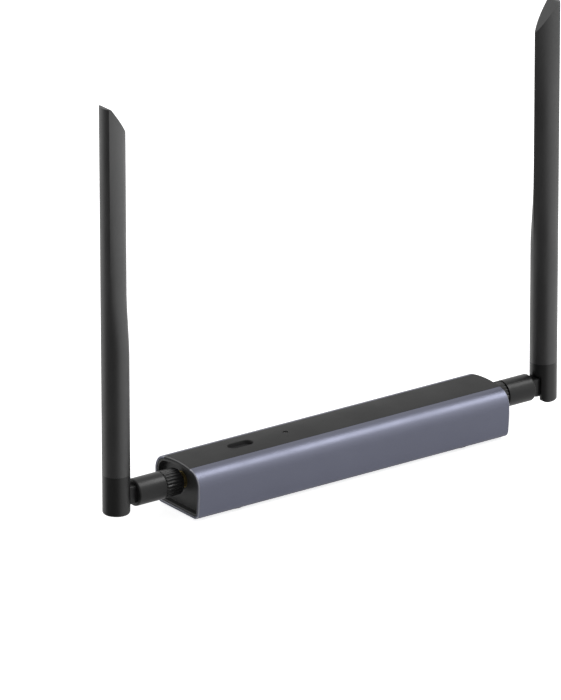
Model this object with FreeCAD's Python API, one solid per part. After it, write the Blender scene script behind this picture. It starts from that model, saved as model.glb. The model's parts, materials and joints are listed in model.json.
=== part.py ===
import FreeCAD, Part
import math
import os

# Smart home gateway: an aluminium bar housing with a hinged antenna on a coaxial jack at each end.
# Millimetres. X runs along the bar, -Y is the front, +Z is up. The origin lies under the middle of
# the housing, on the surface that the feet stand on. Right-hand pieces are modelled and mirrored.

V = FreeCAD.Vector

# Cutters and joined pieces reach this far past the faces that they meet
past = 1.0
# Edges are picked by their place to within this
tolerance = 0.01

# Housing
body_length = 137.0
body_width = 27.0
body_height = 18.9
sleeve_wall = 1.0
shoulder_radius = 6.0
crown_radius = 43.0
side_bow_radius = 90.0
heel_radius = 3.0
end_chamfer = 0.3

# Top cover and the ledges it lies on
cover_width = 15.5
seam_gap = 0.12
ledge_reach = 1.4
ledge_thickness = 0.9
ledge_depth = 3.5
cover_rib_thickness = 0.9
cover_rib_depth = 2.2
locating_gap = 0.1

# End caps
cap_fit = 0.1
cap_set_back = 0.3
cap_rim = 0.8
cap_recess = 2.5
cap_plate = 2.0
cap_skirt = 3.6
cap_corner_radius = 0.8
jack_hole_gap = 0.15
screw_pad_width = 5.0
screw_pad_gap = 0.3

# Feet and cap screws
foot_diameter = 8.0
foot_stand = 0.8
foot_from_end = 19.0
foot_spread = 14.0
screw_diameter = 2.0
screw_head_diameter = 3.8
screw_head_height = 0.9
screw_from_end = 6.4
screw_gap = 0.1

# Main board and the rails that hold it
board_thickness = 1.6
board_side_gap = 0.25
board_end_gap = 0.3
rail_thickness = 0.9
rail_reach = 1.2
rail_gap = 0.08

# Coaxial jacks, soldered on the board ends
jack_axis_height = 11.1
jack_axis_offset = 0.5
jack_above_board = 5.4
jack_thread_diameter = 6.24
jack_block_width = 7.6
jack_block_length = 8.0
jack_block_above_axis = 3.8
jack_block_gap = 0.2
jack_thread_chamfer = 0.3
jack_bore_diameter = 4.6
jack_bore_depth = 2.6
insulator_diameter = 4.1
contact_diameter = 1.3
contact_bore_diameter = 0.96

# Knurled nut
nut_gap = 0.25
nut_length = 7.2
nut_diameter = 9.4
nut_end_diameter = 8.9
nut_insert_diameter = 7.5
nut_lip = 0.9
thread_fit = 0.05
flute_count = 24
flute_width = 0.8
flute_depth = 0.35

# Plug that the nut draws on to the jack
plug_neck_diameter = 5.3
plug_neck_fit = 0.1
plug_neck_depth = 5.0
plug_flange_thickness = 0.8
plug_flange_fit = 0.07
plug_seat_gap = 0.05
plug_spigot_length = 2.0
plug_spigot_fit = 0.05
plug_bore_diameter = 3.0
plug_pin_diameter = 0.9
plug_pin_reach = 1.6
plug_insulator_set_back = 0.3

# Barrel with its hinge tongue
antenna_diameter = 10.0
barrel_length = 11.8
barrel_from_pivot = 6.8
barrel_edge = 0.6
tongue_thickness = 4.9
tongue_height = 6.4
pin_diameter = 2.5
pin_fit = 0.05
pin_inset = 1.0

# Knuckle
pivot_from_end = 25.7
knuckle_above_pivot = 8.8
knuckle_below_pivot = 6.0
knuckle_flat = 3.5
knuckle_step = 4.1
knuckle_edge = 0.7
slot_side_gap = 0.1
slot_radial_gap = 0.3
spigot_diameter = 7.8
spigot_height = 5.0
spigot_fit = 0.05
lead_bore_diameter = 3.0

# Blade: round below, drawn out into a keel towards the housing above
blade_top = 145.5
round_top = 54.0
keel_start = 76.0
edge_offset = 3.92
nose_reach = 5.0
nose_radius = 0.5
flank_radius_low = 6.0
flank_radius_high = 15.5
top_land = 1.85
chisel_drop = 10.65
blade_bore_diameter = 6.6
blade_bore_top = 54.0
whip_bore_diameter = 4.0
whip_bore_top = 126.0

# Radiator inside the blade
radiator_foot_height = 1.2
radiator_foot_gap = 0.05
feed_diameter = 1.8
feed_top = 24.0
sleeve_dipole_diameter = 4.0
sleeve_dipole_top = 52.0
whip_diameter = 1.2
whip_top = 84.0

# Button
button_from_end = 27.4
button_length = 9.8
button_width = 4.2
button_gap = 0.25
button_sunk = 1.3
button_well_wall = 0.9
button_well_depth = 3.4
button_flange = 0.9
button_flange_thickness = 0.8
button_stop_gap = 0.15
button_edge = 0.3
button_stem_diameter = 3.4
well_chamfer = 0.25
switch_size = 6.0
switch_height = 3.5
switch_corner = 0.6
plunger_diameter = 3.2
plunger_fit = 0.1
plunger_proud = 0.8
plunger_depth = 1.6
button_travel = 0.35

# Status lamp and its light guide
lamp_from_button = 19.8
lamp_hole_diameter = 2.0
guide_gap = 0.05
guide_sunk = 0.25
guide_boss_diameter = 4.0
guide_boss_depth = 3.0
guide_foot_diameter = 2.8
guide_above_lamp = 0.3
lamp_length = 1.6
lamp_width = 1.2
lamp_height = 0.8

# Network socket in the back wall
network_x = 22.0
network_width = 15.9
network_height = 11.5
network_depth = 16.2
network_above_floor = 1.1
network_sheet = 0.3
network_face_inset = 0.5
network_wall_gap = 0.2
network_bore_width = 11.9
network_bore_height = 6.9
network_bore_depth = 13.0
network_bore_lift = 2.6
latch_width = 6.2
latch_height = 1.6
network_ear = 1.6
network_contacts = 8
network_pitch = 1.016
network_wire = 0.4
network_wire_length = 9.0
network_wire_drop = 1.2

# Power and data socket in the back wall
usb_x = 2.0
usb_width = 8.94
usb_height = 3.26
usb_depth = 7.4
usb_sheet = 0.3
usb_face_inset = 0.3
usb_wall_gap = 0.3
usb_back_block = 2.0
tongue_board_width = 6.7
tongue_board_thickness = 0.7
tongue_board_inset = 0.8

# Modules on the board
module_board_thickness = 0.8
module_gap = 1.0
shield_sheet = 0.25
can_margin = 0.8
radio_length = 12.0
radio_width = 16.0
radio_can_height = 2.0
processor_width = 14.0
processor_can_height = 2.2
transformer_length = 12.0
transformer_width = 5.6
transformer_height = 4.6
transformer_edge = 0.5

# Places worked out from the sizes above
half_length = body_length / 2
half_width = body_width / 2
floor_z = foot_stand
top_z = floor_z + body_height
inner_floor_z = floor_z + sleeve_wall
jack_y = jack_axis_offset
jack_z = floor_z + jack_axis_height
board_top = jack_z - jack_above_board
board_bottom = board_top - board_thickness
screw_x = half_length - screw_from_end
screw_length = board_bottom - 2 * screw_pad_gap - floor_z
plate_x = half_length - cap_recess
plate_inner_x = plate_x - cap_plate
cap_end_x = plate_inner_x - cap_skirt
jack_block_end_x = plate_inner_x - board_end_gap + jack_block_gap
jack_block_start_x = jack_block_end_x - jack_block_length
pivot_x = half_length + pivot_from_end
pivot = V(pivot_x, jack_y, jack_z)
barrel_end_x = pivot_x - barrel_from_pivot
barrel_start_x = barrel_end_x - barrel_length
nut_start_x = barrel_start_x - nut_gap
nut_end_x = nut_start_x - nut_length
flange_x = nut_start_x - nut_lip - plug_neck_fit
plug_seat_x = flange_x - plug_flange_thickness
plug_front_x = plug_seat_x - plug_spigot_length
jack_mouth_x = plug_seat_x - plug_seat_gap
antenna_radius = antenna_diameter / 2
button_x = -half_length + button_from_end
lamp_x = button_x + lamp_from_button
network_shell_start_x = network_x - network_width / 2 - network_ear
network_shell_end_x = network_x + network_width / 2 + network_ear
transformer_x = network_shell_start_x - module_gap - transformer_length / 2
left_radio_x = (button_x + lamp_x) / 2
right_radio_x = (network_shell_end_x + jack_block_start_x) / 2
processor_start_x = lamp_x + guide_foot_diameter / 2 + module_gap
processor_end_x = usb_x - usb_width / 2 - module_gap


def box(x0, x1, y0, y1, z0, z1):
    return Part.makeBox(x1 - x0, y1 - y0, z1 - z0, V(x0, y0, z0))


def rod(radius, start, end):
    return Part.makeCylinder(radius, (end - start).Length, start, end - start)


def post(radius, x, y, z0, z1):
    return Part.makeCylinder(radius, z1 - z0, V(x, y, z0))


def shaft_on_jack(radius, x0, x1):
    return rod(radius, V(x0, jack_y, jack_z), V(x1, jack_y, jack_z))


def cross_pin(radius, reach):
    """Rod across the hinge, reaching equally far to the front and the back of the pivot."""
    return rod(radius, pivot - V(0, reach, 0), pivot + V(0, reach, 0))


def arc(a, b, c):
    return Part.Arc(a, b, c).toShape()


def line(a, b):
    return Part.LineSegment(a, b).toShape()


def face_of(edges):
    return Part.Face(Part.Wire(Part.__sortEdges__(edges)))


def turned(profile, origin, axis, outward):
    """Solid of revolution. Each profile point is (distance along the axis, radius)."""
    points = [origin + axis * along + outward * radius for along, radius in profile]
    return Part.Face(Part.makePolygon(points + points[:1])).revolve(origin, axis, 360)


def turned_on_jack(profile):
    """Revolved about the jack axis, with distances measured as X."""
    return turned(profile, V(0, jack_y, jack_z), V(1, 0, 0), V(0, 0, 1))


def slab_of_stadium(x, y, length, width, z0, z1):
    """Upright prism with rounded ends, long along X."""
    r = width / 2
    reach = length / 2 - r
    edges = [
        line(V(x - reach, y - r, z0), V(x + reach, y - r, z0)),
        arc(V(x + reach, y - r, z0), V(x + reach + r, y, z0), V(x + reach, y + r, z0)),
        line(V(x + reach, y + r, z0), V(x - reach, y + r, z0)),
        arc(V(x - reach, y + r, z0), V(x - reach - r, y, z0), V(x - reach, y - r, z0)),
    ]
    return face_of(edges).extrude(V(0, 0, z1 - z0))


def edges_where(shape, test):
    return [edge for edge in shape.Edges if test(edge.CenterOfMass, edge)]


def mirrored(shape):
    return shape.mirror(V(0, 0, 0), V(1, 0, 0))


def save(name, shape):
    shape.exportStep("parts/" + name + ".step")
    print(name, "solids", len(shape.Solids), "volume", round(shape.Volume, 2), "valid", shape.isValid())


def shoulder_centre():
    """Centre of the shoulder arc, where it meets both the crown and the upright side."""
    y = half_width - shoulder_radius
    z = top_z - crown_radius + math.sqrt((crown_radius - shoulder_radius) ** 2 - y ** 2)
    return y, z


def surface_z(y, inset=0.0):
    """Height of the crown at y, moved inwards by inset."""
    return top_z - crown_radius + math.sqrt((crown_radius - inset) ** 2 - y ** 2)


def wall_y(z, inset=0.0):
    """Half width of the housing section at height z, moved inwards by inset."""
    centre_y, centre_z = shoulder_centre()
    if z > centre_z:
        return centre_y + math.sqrt((shoulder_radius - inset) ** 2 - (z - centre_z) ** 2)
    return half_width - side_bow_radius + math.sqrt((side_bow_radius - inset) ** 2 - (z - centre_z) ** 2)


def section_prism(inset, x0, x1, heel=None):
    """The housing's section, moved inwards by inset, drawn out from x0 to x1."""
    centre_y, centre_z = shoulder_centre()
    crown_z = top_z - crown_radius
    lean = math.atan2(centre_y, centre_z - crown_z)
    middle = (lean + math.pi / 2) / 2
    crown = crown_radius - inset
    shoulder = shoulder_radius - inset
    bottom = floor_z + inset

    def pair(y, z):
        return V(x0, -y, z), V(x0, y, z)

    crown_left, crown_right = pair(crown * math.sin(lean), crown_z + crown * math.cos(lean))
    mid_left, mid_right = pair(centre_y + shoulder * math.sin(middle),
                               centre_z + shoulder * math.cos(middle))
    side_left, side_right = pair(half_width - inset, centre_z)
    bow_z = (centre_z + bottom) / 2
    bow_left, bow_right = pair(wall_y(bow_z, inset), bow_z)
    low_left, low_right = pair(wall_y(bottom, inset), bottom)
    edges = [
        arc(crown_left, V(x0, 0, top_z - inset), crown_right),
        arc(crown_right, mid_right, side_right),
        arc(side_right, bow_right, low_right),
        line(low_right, low_left),
        arc(low_left, bow_left, side_left),
        arc(side_left, mid_left, crown_left),
    ]
    prism = face_of(edges).extrude(V(x1 - x0, 0, 0))
    heel = heel_radius - inset if heel is None else heel
    if heel <= 0:
        return prism
    corners = edges_where(prism, lambda c, e: abs(c.z - bottom) < tolerance and abs(c.y) > half_width / 2
                          and abs(e.Length - (x1 - x0)) < tolerance)
    return prism.makeFillet(heel, corners)


def foot_places():
    x = half_length - foot_from_end
    y = foot_spread / 2
    return [(-x, -y), (-x, y), (x, -y), (x, y)]


def network_box():
    """Outside of the network socket: x0, x1, y0, y1, z0, z1."""
    z0 = inner_floor_z + network_above_floor
    z1 = z0 + network_height
    y1 = wall_y(z1) - network_face_inset + network_sheet
    return (network_x - network_width / 2, network_x + network_width / 2, y1 - network_depth, y1, z0, z1)


def usb_box():
    """Outside of the power and data socket: x0, x1, y0, y1, z0, z1."""
    y1 = wall_y(board_top) - usb_face_inset
    half = usb_width / 2
    return (usb_x - half, usb_x + half, y1 - usb_depth, y1, board_top, board_top + usb_height)


def end_chamfered(shape):
    """Light chamfer on the outer edges of both cut ends."""
    outline = edges_where(shape, lambda c, e: abs(abs(c.x) - half_length) < tolerance
                          and e.Length > 2 * sleeve_wall and on_outer_surface(e))
    return shape.makeChamfer(end_chamfer, outline)


def on_outer_surface(edge):
    """True where the middle of the edge lies on the housing's outer section."""
    first, last = edge.ParameterRange
    middle = edge.valueAt((first + last) / 2)
    if abs(middle.z - floor_z) < tolerance:
        return True
    centre_y, centre_z = shoulder_centre()
    if middle.z > centre_z and abs(middle.y) < centre_y:
        return abs(surface_z(middle.y) - middle.z) < tolerance
    if middle.z > centre_z:
        from_centre = math.hypot(abs(middle.y) - centre_y, middle.z - centre_z)
        return abs(from_centre - shoulder_radius) < tolerance
    if middle.z < floor_z + heel_radius:
        on_heel = abs(middle.y) > half_width - heel_radius - sleeve_wall / 2
        return on_heel and middle.z < floor_z + sleeve_wall
    return abs(wall_y(middle.z) - abs(middle.y)) < tolerance


def housing_sleeve():
    outer = section_prism(0, -half_length, half_length)
    inner = section_prism(sleeve_wall, -half_length, half_length)
    sleeve = outer.cut(inner)

    # ledges under the cover's edges and rails for the board, milled away where the caps sit
    rail_end = cap_end_x - board_end_gap
    below_wall = section_prism(sleeve_wall / 2, -rail_end, rail_end)
    ledge_y0 = cover_width / 2 - ledge_reach
    ledge_y1 = cover_width / 2 + ledge_reach
    ledge_z = top_z - ledge_depth
    ledge_band = below_wall.cut(section_prism(sleeve_wall + ledge_thickness, -rail_end, rail_end))
    rail_y = wall_y(board_top, sleeve_wall) - rail_reach
    for side in (-1, 1):
        y0, y1 = sorted((side * ledge_y0, side * ledge_y1))
        sleeve = sleeve.fuse(ledge_band.common(box(-rail_end, rail_end, y0, y1, ledge_z, top_z)))
        y0, y1 = sorted((side * rail_y, side * half_width))
        low_z = board_bottom - rail_gap
        high_z = board_top + rail_gap
        low = box(-rail_end, rail_end, y0, y1, low_z - rail_thickness, low_z)
        high = box(-rail_end, rail_end, y0, y1, high_z, high_z + rail_thickness)
        sleeve = sleeve.fuse(low.fuse(high).common(below_wall))

    # the opening that the cover closes, as deep as the wall
    half = cover_width / 2
    opening = box(-half_length, half_length, -half, half, shoulder_centre()[1], top_z + past)
    opening = opening.common(section_prism(-past, -half_length, half_length, 0))
    opening = opening.cut(section_prism(sleeve_wall, -half_length - past, half_length + past))
    sleeve = sleeve.cut(opening)
    sleeve = end_chamfered(sleeve.removeSplitter())

    # holes for the sockets, with the rails cleared beside them
    x0, x1, y0, y1, z0, z1 = network_box()
    gap = network_wall_gap
    clear = network_ear + network_wall_gap
    sleeve = sleeve.cut(box(x0 - gap, x1 + gap, 0, half_width + past, z0 - gap, z1 + gap))
    inner_y = wall_y(board_top, sleeve_wall)
    sleeve = sleeve.cut(box(x0 - clear, x1 + clear, inner_y - rail_reach - gap, inner_y,
                            board_bottom - 2 * rail_thickness, board_top + 2 * rail_thickness))
    x0, x1, y0, y1, z0, z1 = usb_box()
    gap = usb_wall_gap
    sleeve = sleeve.cut(usb_tube(-gap, 0, half_width + past))
    sleeve = sleeve.cut(box(x0 - gap, x1 + gap, inner_y - rail_reach - gap, inner_y,
                            board_top + rail_gap, board_top + 2 * rail_thickness))

    # countersunk screw holes underneath
    hole = cap_screw(screw_gap)
    return sleeve.cut([hole, mirrored(hole)])


def cap_screw(gap=0.0):
    """Right-hand countersunk screw, pointing up, grown by gap where it cuts its own hole."""
    head = screw_head_diameter / 2 + gap
    shank = screw_diameter / 2 + gap
    profile = [(0, 0), (0, head), (screw_head_height, shank), (screw_length, shank), (screw_length, 0)]
    return turned(profile, V(screw_x, 0, floor_z), V(0, 0, 1), V(1, 0, 0))


def top_cover():
    end = half_length
    half = cover_width / 2 - seam_gap
    plate = section_prism(0, -end, end).cut(section_prism(sleeve_wall, -end, end))
    plate = plate.common(box(-end, end, -half, half, shoulder_centre()[1], top_z + past))
    plate = end_chamfered(plate)

    # ribs that drop between the sleeve's ledges
    rib_end = cap_end_x - 2 * board_end_gap
    rib_y = cover_width / 2 - ledge_reach - locating_gap
    under = section_prism(sleeve_wall / 2, -rib_end, rib_end)
    for side in (-1, 1):
        y0, y1 = sorted((side * rib_y, side * (rib_y - cover_rib_thickness)))
        rib = box(-rib_end, rib_end, y0, y1, surface_z(rib_y, sleeve_wall) - cover_rib_depth, top_z)
        plate = plate.fuse(rib.common(under))

    # well for the button: a tube below the cover, open right through
    well_length = button_length + 2 * button_gap
    well_width = button_width + 2 * button_gap
    tube_bottom = top_z - button_well_depth
    walls = 2 * button_well_wall
    tube = slab_of_stadium(button_x, 0, well_length + walls, well_width + walls, tube_bottom, top_z)
    boss_bottom = top_z - sleeve_wall - guide_boss_depth
    boss = post(guide_boss_diameter / 2, lamp_x, 0, boss_bottom, top_z)
    plate = plate.fuse([tube.common(under), boss.common(under)])
    well = slab_of_stadium(button_x, 0, well_length, well_width, tube_bottom - past, top_z + past)
    lamp_hole = post(lamp_hole_diameter / 2, lamp_x, 0, boss_bottom - past, top_z + past)
    plate = plate.cut([well, lamp_hole])
    plate = plate.removeSplitter()
    lip = edges_where(plate, lambda c, e: c.z > surface_z(well_width / 2) - tolerance
                      and abs(c.y) < well_width and e.BoundBox.XMax < button_x + well_length
                      and e.BoundBox.XMin > button_x - well_length)
    return plate.makeChamfer(well_chamfer, lip)


def end_cap():
    """Right-hand cap: a cup with a rim, a set-back plate and a skirt behind it."""
    rim_inset = sleeve_wall + cap_fit
    inner_inset = rim_inset + cap_rim
    outer_x = half_length - cap_set_back
    cap = section_prism(rim_inset, cap_end_x, outer_x)
    cap = cap.cut(section_prism(inner_inset, plate_x, outer_x + past, cap_corner_radius))
    cap = cap.cut(section_prism(inner_inset, cap_end_x - past, plate_inner_x, cap_corner_radius))
    cap = cap.fuse(box(cap_end_x, plate_inner_x, -screw_pad_width / 2, screw_pad_width / 2,
                       floor_z + rim_inset + cap_rim / 2, board_bottom - screw_pad_gap))
    cap = cap.cut(post(screw_diameter / 2, screw_x, 0, floor_z, board_bottom))
    hole = jack_thread_diameter / 2 + jack_hole_gap
    cap = cap.cut(shaft_on_jack(hole, cap_end_x, outer_x))
    return cap.removeSplitter()


def cap_screws():
    return Part.makeCompound([cap_screw(), mirrored(cap_screw())])


def feet():
    return Part.makeCompound([post(foot_diameter / 2, x, y, 0, floor_z) for x, y in foot_places()])


def main_board():
    """Board with a notch for the sunk network socket and narrow tongues inside the caps."""
    side = wall_y(board_bottom, sleeve_wall) - board_side_gap
    middle_end = cap_end_x - board_end_gap
    board = box(-middle_end, middle_end, -side, side, board_bottom, board_top)
    tongue_y = wall_y(board_bottom, sleeve_wall + cap_fit + cap_rim) - board_side_gap
    tongue_end = plate_inner_x - board_end_gap
    board = board.fuse(box(-tongue_end, tongue_end, -tongue_y, tongue_y, board_bottom, board_top))
    x0, x1, y0, y1, z0, z1 = network_box()
    gap = network_wall_gap
    board = board.cut(box(x0 - gap, x1 + gap, y0 - gap, side + past,
                          board_bottom - past, board_top + past))
    return board.removeSplitter()


def coax_jack():
    """Right-angle board jack: a block on the board, with the threaded barrel through the cap."""
    half = jack_block_width / 2
    block = box(jack_block_start_x, jack_block_end_x, jack_y - half, jack_y + half,
                board_top, jack_z + jack_block_above_axis)
    root_x = jack_block_end_x - past
    radius = jack_thread_diameter / 2
    edge = jack_thread_chamfer
    thread = turned_on_jack([(root_x, 0), (root_x, radius), (jack_mouth_x - edge, radius),
                             (jack_mouth_x, radius - edge), (jack_mouth_x, 0)])
    bore = shaft_on_jack(jack_bore_diameter / 2, jack_mouth_x - jack_bore_depth, jack_mouth_x + past)
    core = shaft_on_jack(insulator_diameter / 2, plate_inner_x, jack_mouth_x)
    return block.fuse(thread).cut([bore, core]).removeSplitter()


def jack_insulator():
    front = jack_mouth_x - jack_bore_depth
    outer = insulator_diameter / 2
    inner = contact_diameter / 2
    return turned_on_jack([(plate_inner_x, inner), (plate_inner_x, outer), (front, outer), (front, inner)])


def jack_contact():
    front = jack_mouth_x - jack_bore_depth
    pin = shaft_on_jack(contact_diameter / 2, plate_inner_x, front)
    return pin.cut(shaft_on_jack(contact_bore_diameter / 2, front - 2 * plug_pin_reach, front))


def nut_insert():
    """Threaded brass core, with a lip that holds the plug's flange."""
    outer = nut_insert_diameter / 2
    bore = jack_thread_diameter / 2 + thread_fit
    neck = plug_neck_diameter / 2 + plug_neck_fit
    lip_x = nut_start_x - nut_lip
    return turned_on_jack([(nut_end_x, bore), (nut_end_x, outer), (nut_start_x, outer), (nut_start_x, neck),
                           (lip_x, neck), (lip_x, bore)])


def nut_grip():
    """Knurled sleeve that tapers towards the housing, with straight flutes all round."""
    inner = nut_insert_diameter / 2
    big = nut_diameter / 2
    small = nut_end_diameter / 2
    grip = turned_on_jack([(nut_end_x, inner), (nut_end_x, small), (nut_start_x, big),
                           (nut_start_x, inner)])
    centre = V(0, jack_y, jack_z)
    half = flute_width / 2
    start = centre + V(nut_end_x, 0, small - flute_depth)
    end = centre + V(nut_start_x, 0, big - flute_depth)
    wide = V(0, 2 * half, 0)
    tall = V(0, 0, 2 * flute_depth)
    groove = [start, start + wide + tall, start - wide + tall]
    flute = Part.Face(Part.makePolygon(groove + groove[:1])).extrude(end - start)
    flutes = []
    for i in range(flute_count):
        copy = flute.copy()
        copy.rotate(centre, V(1, 0, 0), i * 360 / flute_count)
        flutes.append(copy)
    return grip.cut(flutes)


def plug_body():
    """Turned brass plug: neck in the barrel, flange behind the nut's lip, spigot in the jack."""
    neck = plug_neck_diameter / 2
    flange = jack_thread_diameter / 2 + thread_fit - plug_flange_fit
    spigot = jack_bore_diameter / 2 - plug_spigot_fit
    bore = plug_bore_diameter / 2
    back_x = barrel_start_x + plug_neck_depth
    return turned_on_jack([(plug_front_x, bore), (plug_front_x, spigot), (plug_seat_x, spigot),
                           (plug_seat_x, flange), (flange_x, flange), (flange_x, neck), (back_x, neck),
                           (back_x, bore)])


def plug_insulator():
    front = plug_front_x + plug_insulator_set_back
    back = barrel_start_x + plug_neck_depth
    outer = plug_bore_diameter / 2
    inner = plug_pin_diameter / 2
    return turned_on_jack([(front, inner), (front, outer), (back, outer), (back, inner)])


def plug_pin():
    tip = plug_front_x - plug_pin_reach
    back = barrel_start_x + plug_neck_depth
    radius = plug_pin_diameter / 2
    point = radius / 2
    return turned_on_jack([(tip, 0), (tip, point), (tip + radius, radius), (back, radius), (back, 0)])


def barrel():
    """Swivel barrel with the tongue that the knuckle turns on."""
    shaft = shaft_on_jack(antenna_radius, barrel_start_x, barrel_end_x)
    rim = edges_where(shaft, lambda c, e: abs(c.x - barrel_end_x) < tolerance
                      and e.BoundBox.XLength < tolerance)
    shaft = shaft.makeChamfer(barrel_edge, rim)
    half = tongue_height / 2
    y0 = jack_y - tongue_thickness / 2
    y1 = jack_y + tongue_thickness / 2
    tongue = box(barrel_end_x - past, pivot_x, y0, y1, jack_z - half, jack_z + half)
    tongue = tongue.fuse(rod(half, V(pivot_x, y0, jack_z), V(pivot_x, y1, jack_z)))
    shaft = shaft.fuse(tongue)
    pin_bore = cross_pin(pin_diameter / 2 + pin_fit, tongue_thickness)
    neck_end = barrel_start_x + plug_neck_depth
    plug_bore = shaft_on_jack(plug_neck_diameter / 2, barrel_start_x - past, neck_end)
    return shaft.cut([pin_bore, plug_bore]).removeSplitter()


def hinge_pin():
    return cross_pin(pin_diameter / 2, antenna_radius - pin_inset)


def slot_profile(radius):
    """Room for the tongue: open towards the barrel and downwards, round about the pin behind."""
    y = jack_y - tongue_thickness / 2 - slot_side_gap
    inward = pivot_x - antenna_radius - past
    bottom = jack_z - knuckle_below_pivot - past
    corner = radius * math.sqrt(0.5)
    edges = [
        line(V(pivot_x + radius, y, bottom), V(pivot_x + radius, y, jack_z)),
        arc(V(pivot_x + radius, y, jack_z), V(pivot_x + corner, y, jack_z + corner),
            V(pivot_x, y, jack_z + radius)),
        line(V(pivot_x, y, jack_z + radius), V(inward, y, jack_z + radius)),
        line(V(inward, y, jack_z + radius), V(inward, y, bottom)),
        line(V(inward, y, bottom), V(pivot_x + radius, y, bottom)),
    ]
    return face_of(edges).extrude(V(0, tongue_thickness + 2 * slot_side_gap, 0))


def knuckle():
    """Hinge knuckle: two cheeks about the tongue, with a spigot that carries the blade."""
    bottom = jack_z - knuckle_below_pivot
    top = jack_z + knuckle_above_pivot
    body = rod(antenna_radius, V(pivot_x, jack_y, bottom), V(pivot_x, jack_y, top))
    rim = edges_where(body, lambda c, e: abs(c.z - bottom) < tolerance and e.BoundBox.ZLength < tolerance)
    body = body.makeChamfer(knuckle_edge, rim)
    spigot_top = V(pivot_x, jack_y, top + spigot_height)
    body = body.fuse(rod(spigot_diameter / 2, V(pivot_x, jack_y, top - past), spigot_top))

    # flat towards the barrel, and the lower corner turned round the pin so that it can swing past
    far = antenna_radius + past
    body = body.cut(box(pivot_x - far, pivot_x - knuckle_flat, jack_y - far, jack_y + far,
                        bottom - past, jack_z + knuckle_step))
    swing = cross_pin(knuckle_below_pivot, far)
    corner = box(pivot_x - far, pivot_x, jack_y - far, jack_y + far, bottom - past, jack_z).cut(swing)
    body = body.cut(corner)
    body = body.cut(slot_profile(tongue_height / 2 + slot_radial_gap))
    body = body.cut(rod(lead_bore_diameter / 2, pivot, spigot_top))
    body = body.cut(cross_pin(pin_diameter / 2, antenna_radius - pin_inset))
    return body.removeSplitter()


def blade_section(height, nose, radius, bulge):
    """Closed section at a height above the pivot: outward arc, two flanks and a nose."""
    z = jack_z + height
    edge_y = math.sqrt(antenna_radius ** 2 - edge_offset ** 2)
    nose_centre = nose - radius
    chord = math.hypot(edge_offset + nose_centre, edge_y)
    lift = bulge - math.sqrt(bulge ** 2 - chord ** 2 / 4)
    tilt = math.atan2(edge_y - radius, edge_offset + nose_centre)

    def at(inward, y):
        return V(pivot_x - inward, jack_y + y, z)

    def flank(side):
        end = at(nose_centre + radius * math.sin(tilt), side * radius * math.cos(tilt))
        start = at(-edge_offset, side * edge_y)
        middle = (start + end) / 2
        return start, middle + V(-math.sin(tilt) * lift, side * math.cos(tilt) * lift, 0), end

    front = flank(-1)
    back = flank(1)
    edges = [
        arc(back[0], at(-antenna_radius, 0), front[0]),
        arc(*front),
        arc(front[2], at(nose, 0), back[2]),
        arc(back[2], back[1], back[0]),
    ]
    return Part.Wire(edges)


def round_section(height):
    """The plain round section, cut into the same four arcs as the keel above it."""
    z = jack_z + height
    edge = math.acos(-edge_offset / antenna_radius)
    nose = math.asin(nose_radius / antenna_radius)

    def at(angle):
        return V(pivot_x - antenna_radius * math.cos(angle), jack_y + antenna_radius * math.sin(angle), z)

    edges = [
        arc(at(edge), at(math.pi), at(-edge)),
        arc(at(-edge), at(-(edge + nose) / 2), at(-nose)),
        arc(at(-nose), at(0), at(nose)),
        arc(at(nose), at((edge + nose) / 2), at(edge)),
    ]
    return Part.Wire(edges)


def blade():
    base = jack_z + knuckle_above_pivot
    low = Part.makeCylinder(antenna_radius, round_top - knuckle_above_pivot, V(pivot_x, jack_y, base))
    low_keel = blade_section(keel_start, nose_reach, nose_radius, flank_radius_low)
    high_keel = blade_section(blade_top, nose_reach, nose_radius, flank_radius_high)
    neck = Part.makeLoft([round_section(round_top), low_keel], True, True)
    keel = Part.makeLoft([low_keel, high_keel], True, True)
    shape = low.fuse([neck, keel])

    # slanted cut at the top, from a short level land down to the nose
    top = jack_z + blade_top
    land = pivot_x + antenna_radius - top_land
    run = land - (pivot_x - nose_reach)
    far = antenna_radius + 2
    slope = chisel_drop / run
    corner = [V(land, jack_y - far, top), V(land - far * 2, jack_y - far, top - far * 2 * slope),
              V(land - far * 2, jack_y - far, top + far), V(land, jack_y - far, top + far)]
    wedge = Part.Face(Part.makePolygon(corner + corner[:1])).extrude(V(0, far * 2, 0))
    shape = shape.cut(wedge)

    # bores for the radiator, and the socket for the knuckle's spigot
    shape = shape.cut(rod(blade_bore_diameter / 2, pivot, pivot + V(0, 0, blade_bore_top)))
    shape = shape.cut(rod(whip_bore_diameter / 2, pivot, pivot + V(0, 0, whip_bore_top)))
    socket_top = knuckle_above_pivot + spigot_height + spigot_fit
    return shape.cut(rod(spigot_diameter / 2 + spigot_fit, pivot, pivot + V(0, 0, socket_top)))


def radiator():
    """Sleeve dipole on its feed, standing on the knuckle's spigot."""
    foot = knuckle_above_pivot + spigot_height + spigot_fit
    foot_top = foot + radiator_foot_height
    disc = blade_bore_diameter / 2 - radiator_foot_gap
    profile = [(foot, 0), (foot, disc), (foot_top, disc), (foot_top, feed_diameter / 2),
               (feed_top, feed_diameter / 2), (feed_top, sleeve_dipole_diameter / 2),
               (sleeve_dipole_top, sleeve_dipole_diameter / 2), (sleeve_dipole_top, whip_diameter / 2),
               (whip_top, whip_diameter / 2), (whip_top, 0)]
    return turned(profile, pivot, V(0, 0, 1), V(1, 0, 0))


def button_levels():
    """Top of the button, underside of its flange and height of the switch plunger."""
    top = top_z - button_sunk
    flange_top = top_z - button_well_depth - button_stop_gap
    plunger_top = board_top + switch_height + plunger_proud
    return top, flange_top - button_flange_thickness, plunger_top


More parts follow.
